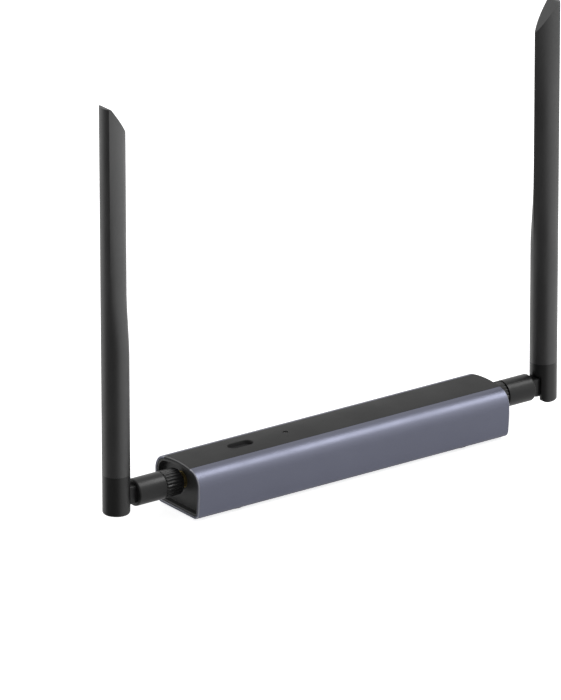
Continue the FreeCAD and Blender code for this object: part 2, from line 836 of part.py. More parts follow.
def button_cap():
    top, flange_bottom, plunger_top = button_levels()
    cap = slab_of_stadium(button_x, 0, button_length, button_width, flange_bottom, top)
    cap = cap.makeChamfer(button_edge, edges_where(cap, lambda c, e: abs(c.z - top) < tolerance))
    wider = 2 * button_flange
    flange = slab_of_stadium(button_x, 0, button_length + wider, button_width + wider,
                             flange_bottom, flange_bottom + button_flange_thickness)
    stem = post(button_stem_diameter / 2, button_x, 0, plunger_top, flange_bottom + button_flange_thickness)
    return cap.fuse([flange, stem]).removeSplitter()


def switch_body():
    half = switch_size / 2
    body = box(button_x - half, button_x + half, -half, half, board_top, board_top + switch_height)
    uprights = edges_where(body, lambda c, e: e.BoundBox.ZLength > switch_height / 2)
    body = body.makeChamfer(switch_corner, uprights)
    hole = plunger_diameter / 2 + plunger_fit
    depth = plunger_depth + 2 * button_travel
    top = board_top + switch_height
    return body.cut(post(hole, button_x, 0, top - depth, top + past))


def switch_plunger():
    top = board_top + switch_height
    return post(plunger_diameter / 2, button_x, 0, top - plunger_depth, top + plunger_proud)


def light_guide():
    thin = lamp_hole_diameter / 2 - guide_gap
    thick = guide_foot_diameter / 2
    bottom = board_top + lamp_height + guide_above_lamp
    step = top_z - sleeve_wall - guide_boss_depth
    profile = [(bottom, 0), (bottom, thick), (step, thick), (step, thin), (top_z - guide_sunk, thin),
               (top_z - guide_sunk, 0)]
    return turned(profile, V(lamp_x, 0, 0), V(0, 0, 1), V(1, 0, 0))


def status_led():
    return box(lamp_x - lamp_length / 2, lamp_x + lamp_length / 2, -lamp_width / 2, lamp_width / 2,
               board_top, board_top + lamp_height)


def network_shell():
    """Bent steel case, open at the mouth, with an ear on each side soldered to the board."""
    x0, x1, y0, y1, z0, z1 = network_box()
    t = network_sheet
    shell = box(x0, x1, y0, y1, z0, z1)
    shell = shell.cut(box(x0 + t, x1 - t, y0 + t, y1 + past, z0 + t, z1 - t))
    ear_y = y0 + network_depth / 2
    for a, b in ((x0 - network_ear, x0), (x1, x1 + network_ear)):
        shell = shell.fuse(box(a, b, ear_y - network_ear, ear_y + network_ear, board_top, board_top + t))
    return shell.removeSplitter()


def network_insert():
    """Moulded core with the plug's bore and, below it, the groove for the plug's latch."""
    x0, x1, y0, y1, z0, z1 = network_box()
    t = network_sheet
    core = box(x0 + t, x1 - t, y0 + t, y1 - t, z0 + t, z1 - t)
    bore_z = z0 + network_bore_lift
    half = network_bore_width / 2
    back = y1 - network_bore_depth
    core = core.cut(box(network_x - half, network_x + half, back, y1, bore_z, bore_z + network_bore_height))
    latch = latch_width / 2
    groove = box(network_x - latch, network_x + latch, back, y1, bore_z - latch_height, bore_z + past)
    return core.cut(groove)


def network_wires():
    """Eight sprung contact wires that slope down from the roof of the bore."""
    x0, x1, y0, y1, z0, z1 = network_box()
    roof = z0 + network_bore_lift + network_bore_height
    back = y1 - network_bore_depth
    w = network_wire / 2
    solids = []
    for i in range(network_contacts):
        x = network_x + (i - (network_contacts - 1) / 2) * network_pitch
        front = back + network_wire_length
        outline = [V(x - w, back, roof - network_wire_drop), V(x - w, front, roof - network_wire),
                   V(x - w, front, roof), V(x - w, back, roof)]
        solids.append(Part.Face(Part.makePolygon(outline + outline[:1])).extrude(V(2 * w, 0, 0)))
    return Part.makeCompound(solids)


def usb_tube(inset, y0, y1):
    """Flat tube section with fully rounded ends, lying along Y."""
    x0, x1, _, _, z0, z1 = usb_box()
    prism = slab_of_stadium(usb_x, -(z0 + z1) / 2, usb_width - 2 * inset, usb_height - 2 * inset, y0, y1)
    prism.rotate(V(0, 0, 0), V(1, 0, 0), -90)
    return prism


def usb_shell():
    y0, y1 = usb_box()[2:4]
    return usb_tube(0, y0, y1).cut(usb_tube(usb_sheet, y0 - past, y1 + past))


def usb_tongue():
    y0, y1, z0, z1 = usb_box()[2:6]
    block = usb_tube(usb_sheet, y0, y0 + usb_back_block)
    middle = (z0 + z1) / 2
    half = tongue_board_thickness / 2
    reach = tongue_board_width / 2
    blade_board = box(usb_x - reach, usb_x + reach, y0 + usb_back_block / 2, y1 - tongue_board_inset,
                      middle - half, middle + half)
    return block.fuse(blade_board).removeSplitter()


def module_board(x0, x1, width):
    """Small board soldered flat on the main board."""
    return box(x0, x1, -width / 2, width / 2, board_top, board_top + module_board_thickness)


def module_shield(x0, x1, width, height):
    """Thin folded can on a module's board, open underneath."""
    base = board_top + module_board_thickness
    start = x0 + can_margin
    end = x1 - can_margin
    half = width / 2 - can_margin
    t = shield_sheet
    can = box(start, end, -half, half, base, base + height)
    return can.cut(box(start + t, end - t, -half + t, half - t, base, base + height - t))


def network_transformer():
    reach = transformer_length / 2
    half = transformer_width / 2
    top = board_top + transformer_height
    block = box(transformer_x - reach, transformer_x + reach, -half, half, board_top, top)
    return block.makeChamfer(transformer_edge, edges_where(block, lambda c, e: c.z > top - tolerance))


os.makedirs("parts", exist_ok=True)

save("housing_sleeve", housing_sleeve())
save("top_cover", top_cover())
save("cap_screws", cap_screws())
save("feet", feet())
save("main_board", main_board())
save("button_cap", button_cap())
save("switch_body", switch_body())
save("switch_plunger", switch_plunger())
save("light_guide", light_guide())
save("status_led", status_led())
save("network_jack_shell", network_shell())
save("network_jack_insert", network_insert())
save("network_jack_contacts", network_wires())
save("usb_shell", usb_shell())
save("usb_tongue", usb_tongue())
save("processor_board", module_board(processor_start_x, processor_end_x, processor_width))
save("processor_shield", module_shield(processor_start_x, processor_end_x, processor_width,
                                       processor_can_height))
save("network_transformer", network_transformer())
for side_name, radio_x in (("left", left_radio_x), ("right", right_radio_x)):
    start_x = radio_x - radio_length / 2
    end_x = radio_x + radio_length / 2
    save(side_name + "_radio_board", module_board(start_x, end_x, radio_width))
    save(side_name + "_radio_shield", module_shield(start_x, end_x, radio_width, radio_can_height))

# pieces that both ends have, modelled on the right and mirrored for the left
end_pieces = {
    "end_cap": end_cap(),
    "coax_jack": coax_jack(),
    "jack_insulator": jack_insulator(),
    "jack_contact": jack_contact(),
    "nut_insert": nut_insert(),
    "nut_grip": nut_grip(),
    "plug_body": plug_body(),
    "plug_insulator": plug_insulator(),
    "plug_pin": plug_pin(),
    "barrel": barrel(),
    "hinge_pin": hinge_pin(),
    "knuckle": knuckle(),
    "blade": blade(),
    "radiator": radiator(),
}
for piece_name, solid in end_pieces.items():
    save("right_" + piece_name, solid)
    save("left_" + piece_name, mirrored(solid))
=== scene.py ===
# %% [markdown]
# # A bar-shaped gateway with two hinged antennas
# The object is an extruded aluminium bar with a charcoal lid. At each end a black antenna screws on to
# a coaxial jack: a fluted nut, a barrel that swivels, a hinge knuckle and a long blade. The packed
# model gives every solid in its place, in metres. This lesson keeps the solids whose shape is right,
# builds the rest more finely on the same sizes, and then gives each piece its finish.

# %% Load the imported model
import bpy
import bmesh
import json
import math
from mathutils import Matrix, Vector


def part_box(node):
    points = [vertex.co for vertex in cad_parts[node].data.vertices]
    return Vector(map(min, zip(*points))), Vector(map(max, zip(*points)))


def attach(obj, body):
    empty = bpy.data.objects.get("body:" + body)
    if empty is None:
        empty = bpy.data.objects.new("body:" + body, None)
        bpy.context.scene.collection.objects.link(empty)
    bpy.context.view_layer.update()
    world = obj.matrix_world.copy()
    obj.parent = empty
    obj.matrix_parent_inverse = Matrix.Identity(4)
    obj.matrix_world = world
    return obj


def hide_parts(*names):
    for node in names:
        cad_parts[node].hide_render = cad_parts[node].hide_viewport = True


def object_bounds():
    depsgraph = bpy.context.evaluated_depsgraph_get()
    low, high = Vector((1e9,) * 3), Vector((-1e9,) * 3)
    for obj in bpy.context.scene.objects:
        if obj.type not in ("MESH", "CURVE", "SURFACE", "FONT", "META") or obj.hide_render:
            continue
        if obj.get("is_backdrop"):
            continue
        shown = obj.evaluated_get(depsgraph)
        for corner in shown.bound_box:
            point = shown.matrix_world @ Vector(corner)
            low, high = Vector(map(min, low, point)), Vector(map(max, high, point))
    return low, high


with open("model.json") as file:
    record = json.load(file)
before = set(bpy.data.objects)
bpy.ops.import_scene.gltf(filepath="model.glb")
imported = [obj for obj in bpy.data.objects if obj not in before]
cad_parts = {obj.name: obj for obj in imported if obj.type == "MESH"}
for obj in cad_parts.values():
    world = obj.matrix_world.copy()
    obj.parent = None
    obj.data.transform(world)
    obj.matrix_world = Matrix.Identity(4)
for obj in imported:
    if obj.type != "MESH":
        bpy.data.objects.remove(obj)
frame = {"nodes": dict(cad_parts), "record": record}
cad_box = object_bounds()
nodes = frame["nodes"]
record = frame["record"]
body_of_node = {node: body for body, held in record["behaviour"]["bodies"].items() for node in held}
slot_of = {part["node"]: part["material_slot"] for part in record["subparts"]}
for spare in ("Cube", "Light", "Camera"):
    if spare in bpy.data.objects:
        bpy.data.objects.remove(bpy.data.objects[spare])
print("nodes", len(nodes), "box", [round(v * 1000, 1) for v in cad_box[1] - cad_box[0]], "mm")

# %% [markdown]
# ## Sizes
# Most sizes come from the frame, so the pieces follow the solids if those change. Both ends are alike,
# so what is built for the right end is mirrored for the left one.

# %% Sizes read from the frame
mm = 0.001
along, across, upwards = Vector((1, 0, 0)), Vector((0, 1, 0)), Vector((0, 0, 1))
sleeve_low, sleeve_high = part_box("housing_sleeve")
half_length, half_width, underside = sleeve_high.x, sleeve_high.y, sleeve_low.z
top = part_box("top_cover")[1].z
board_low, board_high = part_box("main_board")
cap_low, cap_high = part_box("right_end_cap")
pin_low, pin_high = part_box("right_hinge_pin")
pivot = (pin_low + pin_high) / 2
jack_axis = (pivot.y, pivot.z)
knuckle_low, knuckle_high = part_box("right_knuckle")
antenna_radius = (knuckle_high.y - knuckle_low.y) / 2
print("pivot", [round(v / mm, 2) for v in pivot], "antenna radius", round(antenna_radius / mm, 2))

# %% [markdown]
# ## Shared effects
# No real surface is one flat colour. Moulded plastic carries the fine grain of its tool, drawn metal
# has lines along its length, and hands leave broad dull patches. Several finishes need each of these,
# so each is a shader group that gives a mask and a normal, and every material sets its own amounts.


# %% Helpers for every tree of nodes
def new_group(kind, name, given, made):
    """Starts a node group and returns it with its two end nodes.

    Each socket is given as its label with a kind or, for an input, with the number it starts at.
    """
    tree = bpy.data.node_groups.new(name, kind)
    for way, sockets in (("INPUT", given), ("OUTPUT", made)):
        for label, value in sockets.items():
            is_number = not isinstance(value, str)
            kind_of = "NodeSocket" + (type(value).__name__.title() if is_number else value)
            socket = tree.interface.new_socket(name=label, in_out=way, socket_type=kind_of)
            if is_number:
                socket.default_value = value
    return tree, tree.nodes.new("NodeGroupInput"), tree.nodes.new("NodeGroupOutput")


def add(tree, kind, inputs=None, **properties):
    """A new node with some of its properties and inputs set."""
    node = tree.nodes.new(kind)
    for label, value in properties.items():
        setattr(node, label, value)
    for label, value in (inputs or {}).items():
        node.inputs[label].default_value = value
    return node


def wire(tree, *pairs):
    """Links output sockets to input sockets, given in turn."""
    for source, target in zip(pairs[::2], pairs[1::2]):
        tree.links.new(source, target)


def noise_on_object(tree, detail, stretch=(1, 1, 1)):
    """A noise texture on Object coordinates, with its scale left to be wired."""
    place = add(tree, "ShaderNodeTexCoord")
    turn = add(tree, "ShaderNodeMapping", {"Scale": stretch})
    noise = add(tree, "ShaderNodeTexNoise", {"Detail": detail})
    wire(tree, place.outputs["Object"], turn.inputs["Vector"],
         turn.outputs["Vector"], noise.inputs["Vector"])
    return noise


# %% [markdown]
# Grain is a fine even noise that lifts the surface by about a hundredth of a millimetre. A bump node
# turns that height into a normal, so no extra faces are needed. Drawn lines are the same noise,
# stretched along the bar.


# %% Grain, for everything moulded or blasted
def grain_group(name, stretch):
    """Noise stretched along the object's axes: a mask, and a normal from its height."""
    tree, given, made = new_group("ShaderNodeTree", name, {"Per Metre": 9000.0, "Depth": 0.00001},
                                  {"Mask": "Float", "Normal": "Vector"})
    noise = noise_on_object(tree, 3.0, stretch)
    bump = add(tree, "ShaderNodeBump")
    wire(tree, given.outputs["Per Metre"], noise.inputs["Scale"],
         given.outputs["Depth"], bump.inputs["Distance"],
         noise.outputs["Fac"], bump.inputs["Height"],
         noise.outputs["Fac"], made.inputs["Mask"],
         bump.outputs["Normal"], made.inputs["Normal"])
    return tree


grain = grain_group("moulded_grain", (1, 1, 1))
drawn_lines = grain_group("drawn_lines", (0.02, 1, 1))
print("groups", grain.name, drawn_lines.name)


# %% Handling marks, broad and soft
def marks_group():
    """Wide noise that makes some places a little duller."""
    tree, given, made = new_group("ShaderNodeTree", "handling_marks",
                                  {"Per Metre": 60.0, "From": 0.4, "To": 0.5}, {"Roughness": "Float"})
    noise = noise_on_object(tree, 4.0)
    spread = add(tree, "ShaderNodeMapRange", {"From Min": 0.35, "From Max": 0.65})
    wire(tree, given.outputs["Per Metre"], noise.inputs["Scale"],
         given.outputs["From"], spread.inputs["To Min"],
         given.outputs["To"], spread.inputs["To Max"],
         noise.outputs["Fac"], spread.inputs["Value"],
         spread.outputs["Result"], made.inputs["Roughness"])
    return tree


marks = marks_group()
print("group", marks.name)

# %% [markdown]
# ## Finishes
# One function wires a finish: two close tones mixed by the grain, roughness from the handling marks
# and the grain's normal. What is even all over, such as how metallic the finish is, goes straight on
# the shader's own sockets.


# %% The finish maker
def finish_of(name, dark, light, rough, metallic=0.0, specular=0.5, lines=False, per_metre=9000.0,
              depth=0.00001, clear=0.0):
    """A material between two tones and two degrees of roughness, with its grain's size and depth."""
    material = bpy.data.materials.new(name)
    material.use_nodes = True
    tree = material.node_tree
    shader = tree.nodes["Principled BSDF"]
    shader.inputs["Metallic"].default_value = metallic
    shader.inputs["Specular IOR Level"].default_value = specular
    shader.inputs["Transmission Weight"].default_value = clear
    surface = add(tree, "ShaderNodeGroup", {"Per Metre": per_metre, "Depth": depth},
                  node_tree=drawn_lines if lines else grain)
    dulling = add(tree, "ShaderNodeGroup", {"From": rough[0], "To": rough[1]}, node_tree=marks)
    tone = add(tree, "ShaderNodeMix", data_type="RGBA")
    colour_a, colour_b = [socket for socket in tone.inputs if socket.type == "RGBA"]
    colour_a.default_value = (*dark, 1)
    colour_b.default_value = (*light, 1)
    mix = next(socket for socket in tone.outputs if socket.type == "RGBA")
    wire(tree, surface.outputs["Mask"], tone.inputs[0], mix, shader.inputs["Base Color"],
         dulling.outputs["Roughness"], shader.inputs["Roughness"],
         surface.outputs["Normal"], shader.inputs["Normal"])
    return material


# %% [markdown]
# The sleeve is blue-grey anodised aluminium with a fine blasted satin. Its cut ends were milled after
# the colour, so they are bare; their finish is also lighter and less metallic than bare metal, which is
# a painted highlight. The plastics are all near black, yet they differ: the lid is a dry charcoal, the
# blades have a soft coat, and the knuckles are the darkest.

# %% The object's finishes
finishes = {
    "anodised_shell": finish_of("anodised_aluminium", (0.125, 0.131, 0.17), (0.145, 0.151, 0.196),
                                (0.40, 0.46), metallic=1.0, per_metre=14000.0, depth=0.000004),
    "cover_plastic": finish_of("charcoal_lid", (0.040, 0.040, 0.040), (0.050, 0.050, 0.050),
                               (0.62, 0.72), specular=0.15, per_metre=7000.0),
    "cap_plastic": finish_of("black_end_cap", (0.030, 0.031, 0.031), (0.040, 0.041, 0.041),
                             (0.42, 0.52), specular=0.4),
    "button_plastic": finish_of("black_button", (0.023, 0.023, 0.0235), (0.030, 0.030, 0.0305),
                                (0.55, 0.65), specular=0.07),
    "antenna_plastic": finish_of("black_barrel", (0.012, 0.012, 0.012), (0.018, 0.018, 0.018),
                                 (0.30, 0.38), specular=0.28),
    "knuckle_plastic": finish_of("black_knuckle", (0.004, 0.004, 0.004), (0.007, 0.007, 0.007),
                                 (0.32, 0.40)),
    "blade_plastic": finish_of("soft_blade", (0.004, 0.004, 0.0043), (0.007, 0.007, 0.0073),
                               (0.40, 0.48), specular=1.0, per_metre=8000.0),
    "gold_plated": finish_of("gold_plated_brass", (0.30, 0.235, 0.10), (0.38, 0.30, 0.135),
                             (0.38, 0.5), metallic=1.0, lines=True, per_metre=5000.0, depth=0.000002),
    "steel": finish_of("plain_steel", (0.50, 0.50, 0.50), (0.62, 0.62, 0.61),
                       (0.26, 0.4), metallic=1.0, lines=True, per_metre=6000.0, depth=0.000003),
    "board_laminate": finish_of("green_laminate", (0.006, 0.06, 0.028), (0.012, 0.085, 0.04),
                                (0.3, 0.42)),
    "socket_plastic": finish_of("socket_core", (0.010, 0.010, 0.011), (0.017, 0.017, 0.018),
                                (0.4, 0.5)),
    "white_insulator": finish_of("white_insulator", (0.72, 0.72, 0.70), (0.80, 0.80, 0.78),
                                 (0.35, 0.45)),
    "foot_rubber": finish_of("foot_rubber", (0.02, 0.02, 0.02), (0.032, 0.032, 0.032),
                             (0.75, 0.88), specular=0.2, per_metre=4000.0, depth=0.00003),
    "clear_plastic": finish_of("smoky_light_guide", (0.10, 0.10, 0.105), (0.15, 0.15, 0.155),
                               (0.3, 0.4), clear=0.9),
}
# Bare metal, made lighter and less metallic than bare aluminium: partly a painted highlight on the
# chamfers
bare_edge_and_painted_highlight = finish_of("milled_edge", (0.38, 0.39, 0.43), (0.46, 0.47, 0.51), (0.28, 0.36),
                      metallic=0.4, lines=True, per_metre=6000.0, depth=0.000002)
print("finishes", len(finishes))

# %% [markdown]
# ## Ways to finish a mesh
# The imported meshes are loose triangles, which shade flat. Where a shape is right but curved, a welded
# copy stands for the solid: its creases are marked by angle, and its normals are weighted by area, so
# that large faces stay flat and rounds run smoothly into them. Everything built here ends the same way.


# %% Points and faces into an object
def link(name, data):
    """A new object in the scene that holds a mesh, a lamp or a camera."""
    obj = bpy.data.objects.new(name, data)
    bpy.context.scene.collection.objects.link(obj)
    return obj


def reworked(mesh, edit):
    """Runs one edit on the corners and faces of a mesh."""
    shape = bmesh.new()
    shape.from_mesh(mesh)
    edit(shape)
    shape.to_mesh(mesh)
    shape.free()
    return mesh


def mesh_object(name, points, faces):
    """An object from points and faces, welded, with its faces turned outwards."""
    def close(shape):
        bmesh.ops.remove_doubles(shape, verts=shape.verts, dist=1e-7)
        bmesh.ops.recalc_face_normals(shape, faces=shape.faces)

    mesh = bpy.data.meshes.new(name)
    mesh.from_pydata([tuple(p) for p in points], [], faces)
    return link(name, reworked(mesh, close))


# %% Edits that leave one plain mesh
def settle(obj):
    """Turns the object with its modifiers into a plain mesh."""
    bpy.context.view_layer.update()
    done = bpy.data.meshes.new_from_object(obj.evaluated_get(bpy.context.evaluated_depsgraph_get()))
    obj.modifiers.clear()
    obj.data = done
    return obj


def shade(obj, crease=30):
    """Smooth shading with weighted normals, sharp where faces meet at more than the crease angle."""
    obj.data.polygons.foreach_set("use_smooth", [True] * len(obj.data.polygons))
    obj.data.set_sharp_from_angle(angle=math.radians(crease))
    modifier = obj.modifiers.new("weights", "WEIGHTED_NORMAL")
    modifier.keep_sharp = True
    return settle(obj)


def rounded(obj, width, segments=2, crease=40):
    """Small rounding on every crease, as on moulded or tumbled pieces."""
    bevel = obj.modifiers.new("edges", "BEVEL")
    bevel.width = width
    bevel.segments = segments
    bevel.limit_method = "ANGLE"
    bevel.angle_limit = math.radians(crease)
    return settle(obj)


def merged(name, *parts):
    """Several closed shells as one object."""
    shape = bmesh.new()
    for part in parts:
        shape.from_mesh(part.data)
        bpy.data.objects.remove(part)
    mesh = bpy.data.meshes.new(name)
    shape.to_mesh(mesh)
    shape.free()
    return link(name, mesh)


def carve(obj, *cutters, operation="DIFFERENCE"):
    """Cuts other solids out of a piece, or adds them to it, and drops the cutters."""
    for cutter in cutters:
        cut = obj.modifiers.new("cut", "BOOLEAN")
        cut.operation = operation
        cut.solver = "EXACT"
        cut.object = cutter
        settle(obj)
        bpy.data.objects.remove(cutter)


def welded(node, name):
    """A merged copy of a solid's triangles, with flat areas joined into single faces."""
    def join(shape):
        bmesh.ops.remove_doubles(shape, verts=shape.verts, dist=1e-6)
        bmesh.ops.dissolve_limit(shape, angle_limit=math.radians(0.5), verts=shape.verts,
                                 edges=shape.edges)

    return link(name, reworked(nodes[node].data.copy(), join))


# %% Handing a finished piece to its body
def stand_for(obj, node):
    """The finished piece rides where the solid did, dressed in its slot's finish."""
    obj.data.materials.clear()
    obj.data.materials.append(finishes[slot_of[node]])
    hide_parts(node)
    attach(obj, body_of_node[node])
    print(obj.name, "faces", len(obj.data.polygons))


def both_ends(obj, kind, crease):
    """Dresses the right-hand piece, and a mirrored copy for the left end."""
    shade(obj, crease)
    mesh = obj.data.copy()
    mesh.transform(Matrix.Diagonal((-1, 1, 1, 1)))
    mesh.flip_normals()
    other = link(obj.name.replace("right_", "left_"), mesh)
    shade(other, crease)
    stand_for(other, "left_" + kind)
    stand_for(obj, "right_" + kind)


# %% [markdown]
# ## The housing's section
# One closed outline rules the sleeve, the lid and the end caps: a crown that is nearly flat, two round
# shoulders, slightly bowed sides, and small heels where the sides meet the flat underside. Each piece
# uses the outline moved inwards by its own inset, so walls and gaps come out even all round.

# %% Radii of the outline
crown_radius = 43 * mm
shoulder_radius = 6 * mm
bow_radius = 90 * mm
heel_radius = 3 * mm
wall = 1 * mm
crown_steps, shoulder_steps, bow_steps, heel_steps = 12, 24, 8, 10
shoulder_y = half_width - shoulder_radius
crown_z = top - crown_radius
shoulder_z = crown_z + math.sqrt((crown_radius - shoulder_radius) ** 2 - shoulder_y ** 2)
lean = math.atan2(shoulder_y, shoulder_z - crown_z)
bow_y = half_width - bow_radius
print("shoulder centre", round(shoulder_y / mm, 2), round(shoulder_z / mm, 2), "mm")


# %% Points along the outline
def arc_points(centre, radius, start, end, steps):
    """Points on an arc in the section, angles measured from +Z towards +Y."""
    angles = [start + (end - start) * k / steps for k in range(steps + 1)]
    return [(centre[0] + radius * math.sin(a), centre[1] + radius * math.cos(a)) for a in angles]


def heel_centre(inset, heel):
    """The middle of the heel's round, which touches both the bowed side and the underside."""
    z = underside + inset + heel
    return bow_y + math.sqrt((bow_radius - inset - heel) ** 2 - (z - shoulder_z) ** 2), z


def half_outline(inset, heel=None, from_y=0.0):
    """The right half of the outline, from from_y on the crown down to the middle of the underside."""
    heel = heel_radius - inset if heel is None else heel
    crown = crown_radius - inset
    heel_y, heel_z = heel_centre(inset, heel)
    foot_angle = math.pi / 2 + math.atan2(shoulder_z - heel_z, heel_y - bow_y)
    points = arc_points((0, crown_z), crown, math.asin(from_y / crown), lean, crown_steps)[:-1]
    points += arc_points((shoulder_y, shoulder_z), shoulder_radius - inset, lean, math.pi / 2,
                         shoulder_steps)
    points += arc_points((bow_y, shoulder_z), bow_radius - inset, math.pi / 2, foot_angle,
                         bow_steps)[1:]
    points += arc_points((heel_y, heel_z), heel, foot_angle, math.pi, heel_steps)[1:]
    return points + [(0, underside + inset)]


def both_halves(half):
    """Half an outline, and then its mirror image from the underside up."""
    return half + [(-y, z) for y, z in reversed(half[:-1])]


def outline(inset, heel=None):
    """The whole closed outline, without its first point a second time."""
    return both_halves(half_outline(inset, heel))[:-1]


print("outline points", len(outline(0)), "half width below", round(half_outline(0)[-2][0] / mm, 2))


# %% Solids from rings of points
def quads(rows, count):
    """The faces between rows of points that each run once round, with the same count in every row."""
    faces = []
    for row in range(rows - 1):
        low, high = row * count, (row + 1) * count
        faces += [(low + k, low + (k + 1) % count, high + (k + 1) % count, high + k)
                  for k in range(count)]
    return faces


def stacked(name, rings):
    """A closed solid through rings of points that have the same count."""
    count = len(rings[0])
    points = [p for ring in rings for p in ring]
    ends = [tuple(range(count)), tuple(range(len(points) - count, len(points)))]
    return mesh_object(name, points, quads(len(rings), count) + ends)


def prism(name, section, x0, x1):
    """A closed outline drawn out along the bar."""
    return stacked(name, [[(x, y, z) for y, z in section] for x in (x0, x1)])


def block(x0, x1, y0, y1, z0, z1):
    """A plain box that cuts or joins other shapes."""
    corners = [(x, y, z) for x in (x0, x1) for y in (y0, y1) for z in (z0, z1)]
    faces = [(0, 1, 3, 2), (4, 6, 7, 5), (0, 4, 5, 1), (2, 3, 7, 6), (0, 2, 6, 4), (1, 5, 7, 3)]
    return mesh_object("block", corners, faces)


# %% [markdown]
# An extrusion's long faces must shade evenly, also where holes cut them into odd shapes. So on the
# outer skin the shading follows the outline's own arcs, and not an average of the faces around.

# %% Shading that follows the outline
same_way = 0.994  # the cosine of the angle, some six degrees, within which a face belongs to the skin


def outline_normal(y, z):
    """The way the outline faces at a point on it."""
    side = math.copysign(1, y)
    y = abs(y)
    heel_y, heel_z = heel_centre(0, heel_radius)
    if math.atan2(y, z - crown_z) < lean and z > shoulder_z:
        centre = (0, crown_z)
    elif z > shoulder_z:
        centre = (shoulder_y, shoulder_z)
    elif math.atan2(y - bow_y, z - shoulder_z) < math.atan2(heel_y - bow_y, heel_z - shoulder_z):
        centre = (bow_y, shoulder_z)
    elif y > heel_y:
        centre = (heel_y, heel_z)
    else:
        return Vector((0, 0, -1))
    return Vector((0, side * (y - centre[0]), z - centre[1])).normalized()


def even_skin(obj):
    """Gives the outer skin the outline's own normals and leaves all others as they are."""
    mesh = obj.data
    normals = [Vector(corner.vector) for corner in mesh.corner_normals]
    for face in mesh.polygons:
        for corner in face.loop_indices:
            point = mesh.vertices[mesh.loops[corner].vertex_index].co
            way = outline_normal(point.y, point.z)
            if way.dot(face.normal) > same_way:
                normals[corner] = way
    mesh.normals_split_custom_set(normals)
    return obj


# %% [markdown]
# ## The sleeve
# The real sleeve is one extrusion, sawn to length, with its ends milled and lightly chamfered. So the
# wall is drawn as one closed band, from the lid's front seam round the underside to the back seam,
# and set out at four stations: the two ends, and just inside them where each chamfer starts.

# %% The wall as a band
lid_half = 7.75 * mm
seam = 0.12 * mm
chamfer = 0.3 * mm


def band(name, path):
    """Sweeps a band between two open paths along the bar, with its edges chamfered at both ends."""
    stations = [(-half_length, chamfer), (-half_length + chamfer, 0),
                (half_length - chamfer, 0), (half_length, chamfer)]
    points = []
    for x, cut in stations:
        section = path(cut) + path(wall - cut / 2)[::-1]
        points += [(x, y, z) for y, z in section]
    ring = len(section)
    faces = quads(len(stations), ring)
    for end in (0, len(points) - ring):
        faces += [(end + k, end + k + 1, end + ring - 2 - k, end + ring - 1 - k)
                  for k in range(ring // 2 - 1)]
    return mesh_object(name, points, faces)


def open_path(inset):
    """Down from the lid's edge, under the bar and up to the lid's other edge."""
    return both_halves(half_outline(inset, from_y=lid_half))


sleeve = band("sleeve_extrusion", open_path)
print("sleeve band", len(sleeve.data.polygons))

# %% [markdown]
# The sockets' openings and the screw holes are cut out of the wall. Exact Booleans do that cleanly on
# a closed band. The ledges that carry the lid and the rails that hold the board are closed bars of
# their own, added to the same object after the cuts.

# %% Openings in the wall
shell_low, shell_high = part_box("network_jack_shell")
insert_low, insert_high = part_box("network_jack_insert")
usb_low, usb_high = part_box("usb_shell")
usb_middle, usb_size = (usb_low + usb_high) / 2, usb_high - usb_low
sheet = 0.3 * mm  # the network socket's shell, round its insert
gap, rim_gap = 0.2 * mm, 0.3 * mm  # clearance round the network socket and round the power socket
past = 1 * mm  # how far a cutter reaches beyond the faces that it cuts
hole_y = (5 * mm, half_width + past)
end_steps = 14


def stadium(x, y, length, width, z):
    """Points round a flat shape with round ends, long along X."""
    r = width / 2
    reach = length / 2 - r
    turn = [math.pi * k / end_steps for k in range(end_steps + 1)]
    right = [(x + reach + r * math.sin(a), y - r * math.cos(a), z) for a in turn]
    left = [(x - reach - r * math.sin(a), y + r * math.cos(a), z) for a in turn]
    return right + left


network_hole = block(insert_low.x - sheet - gap, insert_high.x + sheet + gap, *hole_y,
                     shell_low.z - gap, shell_high.z + gap)
flat = [stadium(usb_middle.x, -usb_middle.z, usb_size.x + 2 * rim_gap, usb_size.z + 2 * rim_gap, y)
        for y in hole_y]
usb_hole = stacked("hole", [[(x, y, -z) for x, z, y in ring] for ring in flat])
carve(sleeve, network_hole, usb_hole)
print("sleeve with openings", len(sleeve.data.polygons))

# %% [markdown]
# ## Turned and round pieces
# A lathe makes what was turned or is simply round: a profile of points, each a distance along the
# axis and a radius, spun in fine steps. A radius of nought closes the end at a single point.


# %% The lathe
def in_mm(*profile):
    """A profile written in millimetres."""
    return [(distance * mm, radius * mm) for distance, radius in profile]


def proper(faces):
    """Drops repeated corners, and then the faces with fewer than three corners."""
    slim = [tuple(dict.fromkeys(face)) for face in faces]
    return [face for face in slim if len(face) > 2]


def lathe(name, profile, origin, axis, steps):
    """Spins a closed profile about an axis."""
    side = across if abs(axis.y) < 0.5 else upwards
    other = axis.cross(side)
    points, rings, faces = [], [], []
    for distance, radius in profile:
        centre = Vector(origin) + axis * distance
        angles = [2 * math.pi * k / steps for k in range(steps if radius > 0 else 1)]
        rings.append([len(points) + k for k in range(len(angles))])
        points += [centre + (side * math.cos(a) + other * math.sin(a)) * radius for a in angles]
    for a, b in zip(rings, rings[1:] + rings[:1]):
        faces += proper((a[k % len(a)], a[(k + 1) % len(a)], b[(k + 1) % len(b)], b[k % len(b)])
                        for k in range(steps))
    return mesh_object(name, points, faces)


def quarter(distance, radius, size, start, steps):
    """Profile points round a quarter turn, from an angle given in degrees off the axis."""
    angles = [math.radians(start - 90 * k / steps) for k in range(steps + 1)]
    return [(distance + size * math.cos(a), radius + size * math.sin(a)) for a in angles]


def rod(radius, start, end, steps=48):
    """A plain round bar between two points."""
    start, end = Vector(start), Vector(end)
    length = (end - start).length
    profile = [(0, 0), (0, radius), (length, radius), (length, 0)]
    return lathe("rod", profile, start, (end - start) / length, steps)


